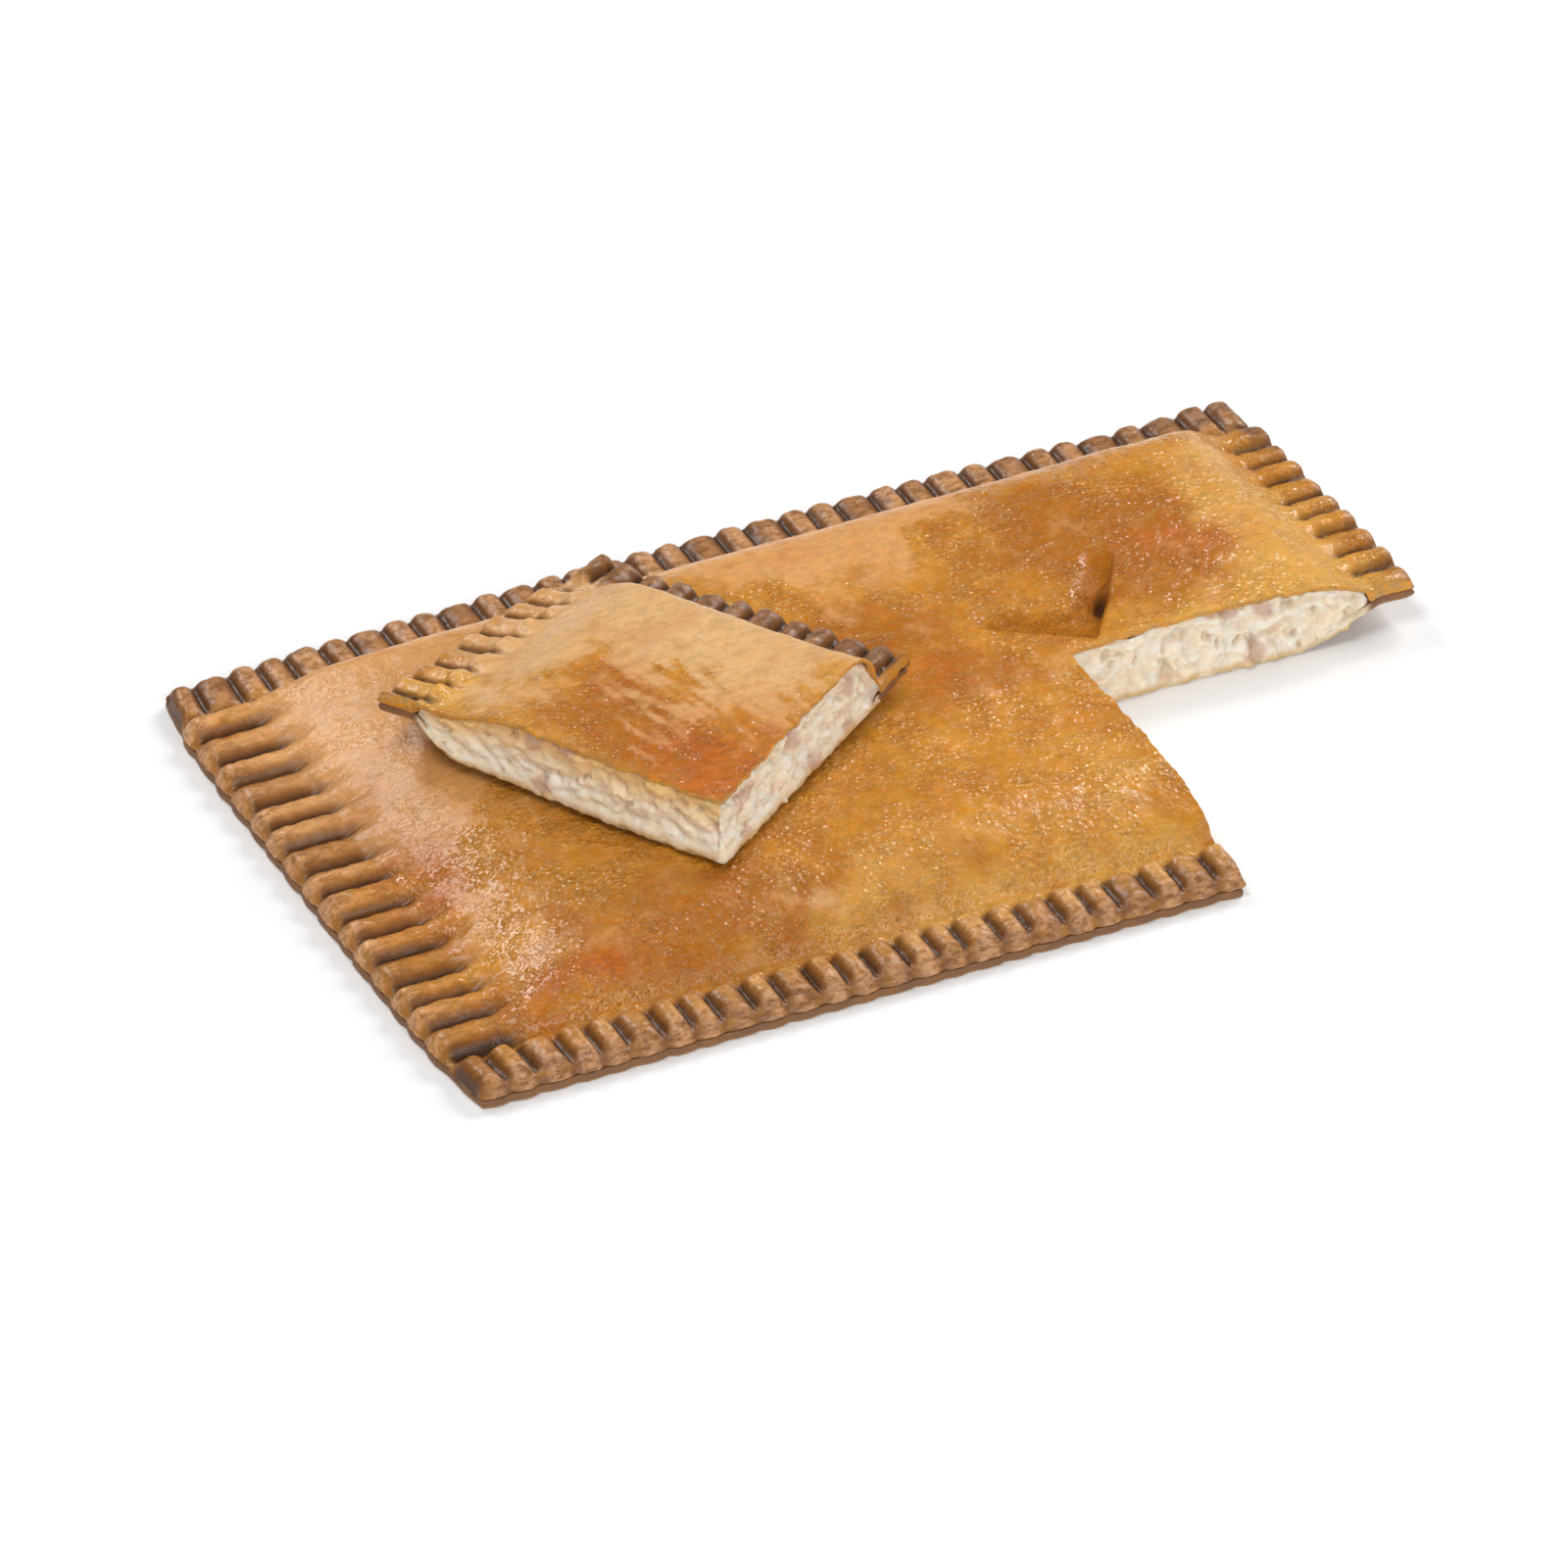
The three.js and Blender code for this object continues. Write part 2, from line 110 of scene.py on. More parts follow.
# The cut, and how the corner piece is bent and placed
CUT = dict(x=53.0, y=-5.3, skew=4.6, bow=0.8)
BODY_LEAN = dict(left=0.0, front=2.6)
PIECE_LEAN = dict(left=2.0, front=-0.8)
KNIFE_MARGIN = 12.0
PIECE = dict(turn=math.radians(121.2), x=-38.9, y=77.4, rest=20.06)
BEND = dict(
    warp=3.6, sag=2.0, sag_run=28.0, tuck=5.0, tuck_run=20.0,
    droop=4.0, droop_run=24.0, droop_power=0.6, spread=4.5, spread_from=36.0, spread_to=8.0,
)

# Camera of the photo: a long lens that looks down from the front left
CAMERA = dict(azimuth=-25.73, elevation=35.04, distance=3.89918, target=(-0.02284, -0.00488, 0.0))
LENS = 360.0
SENSOR = 36.0


def clamp01(value):
    return np.clip(value, 0.0, 1.0)


def smoothstep(value, low, high):
    t = clamp01((value - low) / (high - low))
    return t * t * (3 - 2 * t)


def lerp(a, b, t):
    return a + (b - a) * t


def bell(a, b=0.0):
    return np.exp(-(a**2) - b**2)


def turned(x, y, angle):
    c, s = math.cos(angle), math.sin(angle)
    return x * c + y * s, y * c - x * s


def wobble(index, seed):
    turns = index * GOLDEN + seed
    return 2 * (turns - np.floor(turns)) - 1


# Seeded noise in the plane
TABLE = 256
NOISE_GAIN = 1.5
OCTAVES = 2
FAR_CELLS = 9.0
NEIGHBOURS = (-1, 0, 1)


def lattice(seed):
    rng = np.random.default_rng(seed)
    return rng.permutation(TABLE), rng.uniform(0, 1, (TABLE, 3))


def in_cells(u, v, cell):
    """Places measured in cells, and the cells that they lie in."""
    a, b = u / cell, v / cell
    return a, b, np.floor(a).astype(int), np.floor(b).astype(int)


def lattice_key(order, i, j):
    return order[(order[i % TABLE] + j) % TABLE]


def noise(u, v, cell, seed):
    """Smooth noise, about -1 to 1, with bumps about one cell wide."""
    order, random = lattice(seed)
    a, b, i, j = in_cells(u, v, cell)
    fu, fv = a - i, b - j

    def corner(di, dj):
        angle = 2 * math.pi * random[lattice_key(order, i + di, j + dj), 0]
        return np.cos(angle) * (fu - di) + np.sin(angle) * (fv - dj)

    wu, wv = smoothstep(fu, 0, 1), smoothstep(fv, 0, 1)
    low = lerp(corner(0, 0), corner(1, 0), wu)
    high = lerp(corner(0, 1), corner(1, 1), wu)
    return NOISE_GAIN * lerp(low, high, wv)


def bumps(kind, u, v):
    """Relief of one kind: noise with its own cell, height and seed, and finer noise on top of it."""
    total = 0.0
    for k in range(kind.get("octaves", OCTAVES)):
        total = total + noise(u, v, kind["cell"] / 2**k, kind["seed"] + k) / 2**k
    return kind["height"] * total


def pebbles(u, v, cell, seed):
    """Distance to the nearest of scattered seeds, in cells, and that seed's lot."""
    order, random = lattice(seed)
    a, b, i, j = in_cells(u, v, cell)
    nearest = np.full(a.shape, FAR_CELLS)
    lot = np.zeros(a.shape)
    for di in NEIGHBOURS:
        for dj in NEIGHBOURS:
            key = lattice_key(order, i + di, j + dj)
            distance = np.hypot(i + di + random[key, 0] - a, j + dj + random[key, 1] - b)
            nearer = distance < nearest
            lot = np.where(nearer, random[key, 2], lot)
            nearest = np.where(nearer, distance, nearest)
    return nearest, lot


# Form of the whole empanada before it was cut
def edge_distances(x, y):
    return {"front": y + HALF_Y, "back": HALF_Y - y, "left": x + HALF_X, "right": HALF_X - x}


def groove_places(name):
    crimp = CRIMPS[name]
    is_long = name in LONG_SIDES
    start = -HALF_X if is_long else -HALF_Y + CRIMPS["front"]["rim"]
    end = HALF_X if is_long else HALF_Y - CRIMPS["back"]["rim"]
    index = np.arange(crimp["ridges"] + 1)
    shift = PITCH_JITTER * wobble(index, crimp["seed"])
    shift[[0, -1]] = 0
    return start + (end - start) / crimp["ridges"] * (index + shift)


GROOVES = {name: groove_places(name) for name in CRIMPS}


def ridge_at(name, along):
    """Height of the ridge at a place along a side: 0 in a groove, about 1 on a crest."""
    places = GROOVES[name]
    after = np.clip(np.searchsorted(places, along, side="right"), 1, len(places) - 1)
    phase = clamp01((along - places[after - 1]) / (places[after] - places[after - 1]))
    height = 1 + HEIGHT_JITTER * wobble(after, CRIMPS[name]["seed"] + GOLDEN / 2)
    return (1 - np.abs(2 * phase - 1) ** RIDGE_ROUND) * height


def rim_state(x, y, form):
    """For each side: how much its ridges reach here, and the ridge's height along it."""
    away = edge_distances(x, y)
    in_long = np.minimum(away["front"], away["back"])
    front = CRIMPS["front"]
    corner = smoothstep(in_long, front["sink"], front["sink"] + front["sink_run"])
    state = {}
    for name, crimp in form.crimps.items():
        risen = clamp01((away[name] - crimp["lip"]) / (crimp["rise"] - crimp["lip"]))
        rise = np.sqrt(1 - (1 - risen) ** 2)
        reach = rise * (1 - smoothstep(away[name], crimp["sink"], crimp["sink"] + crimp["sink_run"]))
        is_long = name in LONG_SIDES
        state[name] = (reach if is_long else reach * corner, ridge_at(name, x if is_long else y))
    return state


def crimp_height(state, form):
    height = 0.0
    for name, (reach, ridge) in state.items():
        crest = form.crimps[name]["height"] * ridge
        height = height + reach * (crest - GROOVE_DEPTH * np.maximum(0, 1 - ridge))
    return height


def rise_share(rise, distance):
    inside = np.maximum(0, distance - rise["foot"])
    return 1 - np.exp(-((inside / rise["run"]) ** rise["ease"]))


def waves(x, y):
    cx, cy, px, py, share = WAVES["crossed"]
    sx, sy, phase, slant_share = WAVES["slanted"]
    crossed = share * np.sin(cx * x + px) * np.sin(cy * y + py)
    return WAVES["height"] * (crossed + slant_share * np.sin(sx * x + sy * y + phase))


def dome_share(x, y, form):
    lack = 0.0
    for name, distance in edge_distances(x, y).items():
        lack = lack + (1 - rise_share(form.rises[name], distance)) ** CORNER_NORM
    return np.maximum(0, 1 - lack ** (1 / CORNER_NORM))


def dome(x, y, form):
    share = dome_share(x, y, form)
    drop = WAVES["height"] - waves(x, y)
    for place in form.settled:
        drop = drop + place["depth"] * bell((x - place["x"]) / place["run"], (y - place["y"]) / place["run"])
    return DOME * share - drop * smoothstep(share, UNEVEN_FROM, UNEVEN_FULL)


def curl(x, y, form):
    away = HALF_X - x
    start = form.lift["start"]
    out = clamp01((start - away) / (start - CURL["level"])) ** form.lift["power"]
    return CURL["height"] * out * bell((y - CURL["y"]) / CURL["run"])


def edge_rounding(x, y):
    edge = 1.0
    for distance in edge_distances(x, y).values():
        short = 1 - clamp01(distance / EDGE_ROUND)
        edge = edge * np.sqrt(1 - short * short)
    return edge


def outlined(x, y):
    """The outline follows the ridges: crests reach the full size, grooves stay behind; two sides bulge."""
    away = edge_distances(x, y)

    def inset(name, along):
        near = np.maximum(0, 1 - away[name] / SCALLOP_REACH)
        return near * SCALLOP * np.maximum(0, 1 - ridge_at(name, along))

    def bow(name, share):
        near = 1 - smoothstep(away[name], 0, BOW_REACH)
        return near * BOWS[name]["out"] * (1 - np.abs(share) ** BOWS[name]["even"])

    across = inset("left", y) - inset("right", y) - bow("left", y / HALF_Y)
    along = inset("front", x) - inset("back", x) + bow("back", x / HALF_X)
    return x + across, y + along


# Torn dent beside the inner corner of the cut: two crisp edges, the dough behind each sunk
DENT_STEPS = (
    dict(start=(84.0, 28.5), end=(62.0, -4.5), side=1, depth=2.8, run=8.0),
    dict(start=(35.0, 14.2), end=(63.0, -2.0), side=-1, depth=1.7, run=10.0),
)
DENT_HOLES = (
    dict(x=71.0, y=12.6, along=4.6, across=1.9, depth=2.6, angle=0.97),
    dict(x=62.4, y=0.4, along=1.8, across=0.7, depth=1.2, angle=-0.6),
    dict(x=66.5, y=19.0, along=9.0, across=2.6, depth=-0.9, angle=0.97),
)
DENT_CRISP = 0.9
DENT_FADE = 0.7


def dent_hole(x, y, hole):
    along, across = turned(x - hole["x"], y - hole["y"], hole["angle"])
    return bell(along / hole["along"], across / hole["across"])


def torn_dent(x, y):
    drop = 0.0
    for step in DENT_STEPS:
        start, end = np.array(step["start"]), np.array(step["end"])
        length = np.hypot(*(end - start))
        tx, ty = (end - start) / length
        along = ((x - start[0]) * tx + (y - start[1]) * ty) / length
        across = step["side"] * ((x - start[0]) * ty - (y - start[1]) * tx)
        fade = np.sin(math.pi * clamp01(along)) ** DENT_FADE
        sunk = smoothstep(across, 0, DENT_CRISP) * bell(across / step["run"])
        drop = drop + step["depth"] * fade * sunk
    for hole in DENT_HOLES:
        drop = drop + hole["depth"] * dent_hole(x, y, hole)
    return drop


# Relief of the crust that is finer than the solids
SWELL = dict(cell=15.0, height=0.3, seed=11)
GRAIN = dict(cell=3.4, height=0.18, seed=21)
RIM_LUMPS = dict(cell=3.2, height=0.42, seed=31)
SLIT_DEPTH = 0.9
SLIT_POWER = 5
WRINKLES = dict(x=74.0, y=-30.0, run=34.0, along=12.0, across=2.6, angle=-0.35, height=0.34, seed=41)

# Thickness of the top sheet: at a cut, at its thinnest, and where its underside leaves the seam
CUT_EDGE = 1.3
THINNEST = 0.6
FACE_LOWEST = 0.6
SEAM_SHARES = (0.02, 0.2)


def wrinkles(x, y):
    along, across = turned(x, y, WRINKLES["angle"])
    along = along * WRINKLES["across"] / WRINKLES["along"]
    fold = WRINKLES["height"] * noise(along, across, WRINKLES["across"], WRINKLES["seed"])
    return fold * bell((x - WRINKLES["x"]) / WRINKLES["run"], (y - WRINKLES["y"]) / WRINKLES["run"])


def crust_relief(x, y, state, form):
    share = dome_share(x, y, form)
    relief = share * bumps(SWELL, x, y) + bumps(GRAIN, x, y)
    if form.wrinkled:
        relief = relief + share * wrinkles(x, y)
    lumps = bumps(RIM_LUMPS, x, y)
    for reach, ridge in state.values():
        relief = relief + reach * lumps * clamp01(ridge)
        relief = relief - SLIT_DEPTH * reach * clamp01(1 - ridge) ** SLIT_POWER
    return relief


def cut_edge_low(x, y, top, hollow, form):
    """Lower line of the crust at a cut: a thin edge over the filling, the full thickness at the rim."""
    filled = smoothstep(hollow - SEAM_Z - curl(x, y, form), FACE_LOWEST, CRUST)
    return lerp(hollow, np.maximum(hollow, top - CUT_EDGE), filled)


def crust_heights(x, y, form):
    """Top and underside of the top sheet, and the state of its rim."""
    state = rim_state(x, y, form)
    lip = lerp(EDGE_Z, LIP_Z, edge_rounding(x, y))
    raised = dome(x, y, form) - (torn_dent(x, y) if form.torn else 0.0)
    top = lip + crimp_height(state, form) + raised + curl(x, y, form) + crust_relief(x, y, state, form)
    foot = smoothstep(dome_share(x, y, form), *SEAM_SHARES)
    hollow = lerp(SEAM_Z, LIP_Z - CRUST, foot) + raised + curl(x, y, form)
    return top, np.minimum(hollow, top - THINNEST), state


# The cut
RAGGED = dict(cell=5.0, height=0.7, seed=51, octaves=3)
RAGGED_APART = 2 * HALF_X


def cut_corner(z, lean):
    """Inner corner of the cut at a height z."""
    low = 1 - z / CROWN_Z
    return CUT["x"] - low * lean["left"], CUT["y"] - low * lean["front"]


def cut_left_x(y, z, lean):
    """Where the cut that runs to the front passes, at a depth y and a height z."""
    inner_x, inner_y = cut_corner(z, lean)
    far = -HALF_Y - KNIFE_MARGIN
    share = (y - far) / (inner_y - far)
    return inner_x + CUT["skew"] * (1 - share) + CUT["bow"] * np.sin(math.pi * clamp01(share))


def cut_back_y(x, z, lean):
    """Where the cut that runs to the right passes, at a place x and a height z."""
    inner_x, inner_y = cut_corner(z, lean)
    share = clamp01((x - inner_x) / (HALF_X + KNIFE_MARGIN - inner_x))
    return inner_y + CUT["bow"] * np.sin(2 * math.pi * share)


def ragged(along):
    return bumps(RAGGED, along, 0 * along)


# Grids of the two plan shapes: the body is an L of two patches, the corner piece is one patch
RIM_MARGIN = 6.0
COARSER = 1.3
PLAN_ROUNDS = 4

# Points in the plane with their quads and the runs of their outline, which goes anticlockwise
Plan = namedtuple("Plan", "x y quads runs")


def patch_quads(index):
    a, b, c, d = index[:-1, :-1], index[:-1, 1:], index[1:, 1:], index[1:, :-1]
    return np.stack([a, b, c, d], -1).reshape(-1, 4)


def spread(low, high, step):
    return np.linspace(low, high, max(2, round((high - low) / step) + 1))


def graded(low, middle, high, first, second):
    """Places from low to high, with one step up to the middle and another one after it."""
    return np.concatenate([spread(low, middle, first), spread(middle, high, second)[1:]])


def body_plan(step, rim_step, height, inset=0.0):
    """L-shaped plan; height gives the level at which the cut is taken, inset draws the cut in."""
    inner_x, inner_y = CUT["x"], CUT["y"]
    rim = CRIMPS["front"]["rim"] + RIM_MARGIN
    coarse = step * COARSER
    depth = HALF_Y - inner_y
    left = spread(-HALF_X, inner_x, step)
    right = spread(inner_x, HALF_X, step)[1:]
    front = graded(-HALF_Y, -HALF_Y + rim, inner_y, rim_step, coarse)
    back = graded(0, 1 - rim / depth, 1, coarse / depth, rim_step / depth)
    share = (left + HALF_X) / (inner_x + HALF_X)

    def cut_start(x):
        return cut_back_y(x, height(x, np.full(x.shape, inner_y)), BODY_LEAN)

    corner_y = cut_start(np.array([inner_x]))[0] + inset
    start = np.concatenate([np.full(left.shape, corner_y), cut_start(right) + ragged(right) + inset])
    x2, y2 = np.broadcast_arrays(np.concatenate([left, right]), lerp(start, HALF_Y, back[:, None]))

    rows = lerp(-HALF_Y, corner_y, (front + HALF_Y) / (inner_y + HALF_Y))[:-1]
    level = height(np.full(rows.shape, inner_x), rows)
    end = cut_left_x(rows, level, BODY_LEAN) + ragged(rows + RAGGED_APART) - inset
    x1, y1 = np.broadcast_arrays(lerp(-HALF_X, end[:, None], share), rows[:, None])

    index1 = np.arange(x1.size).reshape(x1.shape)
    index2 = np.arange(x2.size).reshape(x2.shape) + x1.size
    joined = np.vstack([index1, index2[:1, : len(left)]])
    runs = {
        "front": joined[0],
        "cut_left": joined[:, -1],
        "cut_back": index2[0, len(left) - 1 :],
        "right": index2[:, -1],
        "back": index2[-1, ::-1],
        "left": np.concatenate([index2[::-1, 0], index1[::-1, 0]]),
    }
    quads = np.vstack([patch_quads(joined), patch_quads(index2)])
    x, y = (np.concatenate([first.ravel(), second.ravel()]) for first, second in ((x1, x2), (y1, y2)))
    return Plan(x, y, quads, runs)


def piece_plan(step, height, inset=0.0):
    """Plan of the corner piece: one patch between its two cuts and the rim."""
    across = spread(0, 1, step / (HALF_X - CUT["x"]))
    along = spread(0, 1, step / (HALF_Y + CUT["y"]))
    s, t = np.meshgrid(across, along)
    x = lerp(CUT["x"], HALF_X, s)
    y = lerp(-HALF_Y, CUT["y"], t)
    for _ in range(PLAN_ROUNDS):
        level = height(x, y)
        left = cut_left_x(y, level, PIECE_LEAN) - ragged(y + RAGGED_APART) + inset
        back = cut_back_y(x, level, PIECE_LEAN) - ragged(x) - inset
        x, y = lerp(left, HALF_X, s), lerp(-HALF_Y, back, t)
    index = np.arange(x.size).reshape(x.shape)
    runs = {"front": index[0], "right": index[:, -1], "cut_back": index[-1, ::-1], "cut_left": index[::-1, 0]}
    return Plan(x.ravel(), y.ravel(), patch_quads(index), runs)


def outline(plan):
    """The outline as one closed loop of points, and which of them lie on a cut."""
    loop = np.concatenate([run[:-1] for run in plan.runs.values()])
    marks = [np.full(len(run) - 1, name.startswith("cut"), float) for name, run in plan.runs.items()]
    return loop, np.concatenate(marks)


NORMAL_SPAN = 2
TINY = 1e-9


def sheet_edge(x, y):
    """Unit vectors out of a closed anticlockwise loop, and the way along it."""
    run = np.cumsum(np.hypot(np.diff(x, append=x[0]), np.diff(y, append=y[0])))
    tx, ty = (np.roll(place, -NORMAL_SPAN) - np.roll(place, NORMAL_SPAN) for place in (x, y))
    length = np.hypot(tx, ty) + TINY
    return ty / length, -tx / length, run


# Meshes and objects
SMALLEST_AREA = 1e-7


def add_object(name, data):
    made = bpy.data.objects.new(name, data)
    bpy.context.scene.collection.objects.link(made)
    return made


class Shell:
    """Points, quads and named values at the points, gathered part by part."""

    def __init__(self, names):
        self.points = []
        self.quads = []
        self.count = 0
        self.values = {name: [] for name in names}

    def add(self, points, quads, **values):
        corners = points[quads]
        area = np.cross(corners[:, 2] - corners[:, 0], corners[:, 3] - corners[:, 1])
        self.points.append(points)
        self.quads.append(quads[np.linalg.norm(area, axis=1) > SMALLEST_AREA] + self.count)
        for name, gathered in self.values.items():
            gathered.append(np.broadcast_to(values.get(name, 0.0), len(points)))
        self.count += len(points)

    def add_rows(self, rows, closed, **values):
        """Rows of points joined into a strip; closed joins the last point of a row to its first."""
        number = rows.shape[1]
        index = np.arange(rows.shape[0] * number).reshape(rows.shape[0], number)
        if closed:
            index = np.concatenate([index, index[:, :1]], 1)
        spread_values = {k: np.broadcast_to(v, rows.shape[:2]).ravel() for k, v in values.items()}
        self.add(rows.reshape(-1, 3), patch_quads(index), **spread_values)

    def make(self, name, material, place):
        points = np.concatenate(self.points)
        if place:
            points = place(points)
        points = points + SHIFT
        mesh = bpy.data.meshes.new(name)
        mesh.from_pydata((points * MM).tolist(), [], np.concatenate(self.quads).tolist())
        mesh.shade_smooth()
        for key, gathered in self.values.items():
            attribute = mesh.attributes.new(key, "FLOAT", "POINT")
            attribute.data.foreach_set("value", np.concatenate(gathered).astype(np.float32))
        mesh.materials.append(material)
        mesh.update()
        return add_object(name, mesh)


def as_points(x, y, z):
    return np.stack(np.broadcast_arrays(x, y, z), -1).astype(float)


def bent_and_placed(points):
    """Bends the cut corner as it lies, turns it and puts it on top of the rest."""
    x, y = points[:, 0] - HALF_X, points[:, 1] + HALF_Y
    span_x, span_y = HALF_X - CUT["x"], HALF_Y + CUT["y"]
    along = np.sin(math.pi * clamp01(y / span_y)) ** BEND["droop_power"]
    droop = BEND["droop"] * along * smoothstep(x, -BEND["droop_run"], 0)
    out = BEND["spread"] * smoothstep(x, -BEND["spread_from"], -BEND["spread_to"])
    warp = BEND["warp"] * np.maximum(0, -x / span_x - y / span_y) ** 2
    sag = BEND["sag"] * bell(x / BEND["sag_run"], y / BEND["sag_run"])
    tuck = BEND["tuck"] * bell(x / BEND["tuck_run"], y / BEND["tuck_run"])
    z = points[:, 2] + warp - sag - droop + PIECE["rest"]
    x, y = turned(x + out - tuck, y, -PIECE["turn"])
    return as_points(x + PIECE["x"], y + PIECE["y"], z)


# Top sheet
RIM_TONES = ("brown", "burnt", "groove", "flank_shade", "painted_crest_highlight")
CRUST_TONES = RIM_TONES + ("dent_shade", "red", "wash_and_sheen", "painted_highlight", "deep", "straw", "cut")

# Browning of each rim: how much at its edge and at its inner end, and how far in that is,
# how burnt it is, how strong the painted highlight on its crests is and how dark the painted shade on the
# flanks of its ridges
BROWNING = {
    "front": dict(edge=1.0, inner=0.5, fade=0.8, burnt=0.15, painted_highlight=0.8, flank_shade=0.8),
    "back": dict(edge=1.0, inner=0.8, fade=0.8, burnt=0.2, painted_highlight=0.8, flank_shade=0.8),
    "left": dict(edge=0.65, inner=0.2, fade=0.8, burnt=0.0, painted_highlight=1.0, flank_shade=0.85),
    "right": dict(edge=0.9, inner=0.0, fade=0.4, burnt=0.15, painted_highlight=0.4, flank_shade=0.45),
}
PIECE_BROWNING = {
    **BROWNING,
    "front": dict(edge=1.0, inner=1.0, fade=0.8, burnt=0.6, painted_highlight=0.4, flank_shade=0.6),
    "right": dict(edge=0.1, inner=0.0, fade=0.8, burnt=0.0, painted_highlight=0.0, flank_shade=0.2),
}

# The wrinkles of the corner piece streak its film and the painted sheen on it
FILM_STREAKS = 3.0

# Soft spots of each tone: place, half sizes and strength
BODY_SPOTS = dict(
    red=(
        (103, 25, 16, 9, 0.9), (-103, -70, 11, 6, 0.9), (-128, -14, 10, 20, 1.0),
        (-121, -73, 10, 6, 0.6), (22, 0, 22, 12, 0.4),
    ),
    # Film spots: a pale egg wash, partly its own colour and partly painted sheen
    wash_and_sheen=(
        (-110, 45, 42, 36, 1.1), (-40, 78, 75, 16, 1.0), (-126, 5, 20, 45, 0.8),
        (24, 62, 24, 24, 1.0), (58, 76, 26, 10, 0.7), (-96, -62, 16, 9, 0.5),
        (-43, -69, 20, 8, 0.35),
    ),
    deep=(
        (-72, -66, 50, 20, 1.0), (30, -66, 50, 14, 0.4), (92, 26, 34, 22, 1.1),
        (70, 50, 26, 22, 0.7), (14, 22, 20, 16, 1.0), (30, -4, 24, 14, 0.6),
    ),
    straw=(
        (40, -58, 16, 40, 0.5), (0, -82, 70, 8, 0.8), (-92, -86, 46, 5, 0.5),
        (124, 12, 18, 60, 1.2), (100, -8, 44, 9, 0.8), (-40, -70, 16, 8, 0.5),
        (-10, -64, 26, 12, 0.6),
    ),
    # The pale spots are painted sheen and glints
    painted_highlight=((-43, -69, 14, 8, 0.4),),
    burnt=((142, 90, 26, 9, 1.0), (149, 72, 8, 12, 0.9), (148, -3, 5, 5, 0.7)),
)
PIECE_SPOTS = dict(
    red=((61, -13, 17, 21, 1.6), (103, -36, 12, 9, 0.5)),
    # Film spots: a pale egg wash, partly its own colour and partly painted sheen
    wash_and_sheen=(
        (122, -68, 30, 26, 1.1), (132, -25, 16, 34, 0.9), (80, -68, 30, 24, 1.0),
        (98, -82, 40, 14, 1.0), (72, -44, 14, 18, 0.7),
    ),
    deep=((96, -26, 24, 16, 0.9), (80, -14, 22, 10, 0.8)),
    straw=((58, -64, 6, 26, 0.6), (140, -14, 14, 14, 0.9), (118, -42, 14, 12, 0.5)),
    # The pale spots are painted sheen and glints
    painted_highlight=((112, -60, 36, 34, 1.0), (136, -18, 16, 20, 1.0), (80, -66, 24, 22, 0.8)),
    burnt=((149, -6, 6, 5, 1.0),),
)


def spots(x, y, places):
    total = 0.0
    for px, py, rx, ry, strength in places:
        total = total + strength * bell((x - px) / rx, (y - py) / ry)
    return total


def raise_tone(tones, name, value):
    tones[name] = np.maximum(tones[name], value)


# Where the tones of a rim begin and are full: by the depth from its edge, or by the height of the ridge
RIM_DRIFT = dict(cell=7.0, height=0.2, seed=61, octaves=3)
BROWN_FROM = 0.1
BROWN_ENDS = (0.9, 1.35)
CREST_HEIGHTS = (0.5, 1.0)
GROOVE_HEIGHTS = (0.15, 0.65)
FLANK_HEIGHTS = (0.5, 1.05)
MARK_POWER = 3


def rim_tones(x, y, state, form):
    """Browning of the rims: brown to the edge, painted shade in the grooves and on the lower flanks of the
    ridges, painted highlights on the crests.
    """
    away = edge_distances(x, y)
    drift = bumps(RIM_DRIFT, x, y)
    tones = {name: np.zeros(np.shape(x)) for name in RIM_TONES}
    for name, crimp in form.crimps.items():
        reach, ridge = state[name]
        bake = form.browning[name]
        depth = away[name] / crimp["sink"] + drift
        brown = lerp(bake["edge"], bake["inner"], smoothstep(depth, BROWN_FROM, bake["fade"]))
        brown = brown * (1 - smoothstep(depth, *BROWN_ENDS))
        # Painted highlight on the crests of the ridges
        crest = bake["painted_highlight"] * smoothstep(ridge, *CREST_HEIGHTS)
        browner = brown > tones["brown"]
        tones["burnt"] = np.where(browner, bake["burnt"] * brown, tones["burnt"])
        tones["painted_crest_highlight"] = np.where(browner, crest, tones["painted_crest_highlight"])
        raise_tone(tones, "brown", brown)
        marked = reach**MARK_POWER
        # Painted shade in the grooves between the ridges
        raise_tone(tones, "groove", marked * (1 - smoothstep(ridge, *GROOVE_HEIGHTS)))
        # Painted shade on the lower flanks of the ridges
        raise_tone(tones, "flank_shade", bake["flank_shade"] * marked * (1 - smoothstep(ridge, *FLANK_HEIGHTS)))
    return tones


# Clouds that make the tones of the skin uneven, and between which amounts each tone rises
SKIN_DRIFT = dict(cell=9.0, height=1.0, seed=63, octaves=3)
RED_CLOUD = dict(cell=20.0, height=1.0, seed=71, octaves=3, ends=(0.3, 0.9), share=0.3)
SKIN_CLOUDS = dict(
    wash_and_sheen=dict(cell=18.0, height=0.5, seed=81, octaves=5, ends=(0.1, 1.0)),
    deep=dict(cell=16.0, height=0.4, seed=85, octaves=4, ends=(0.1, 0.9)),
    straw=dict(cell=12.0, height=0.35, seed=95, octaves=4, ends=(0.2, 0.9)),
)
RED_UNEVEN = (0.8, 0.7)
# Unevenness of the pale spots, which are painted sheen and glints
PALE_UNEVEN = (1.0, 0.4)
BURNT_UNEVEN = (1.0, 0.6)
SCORCHED = 0.8

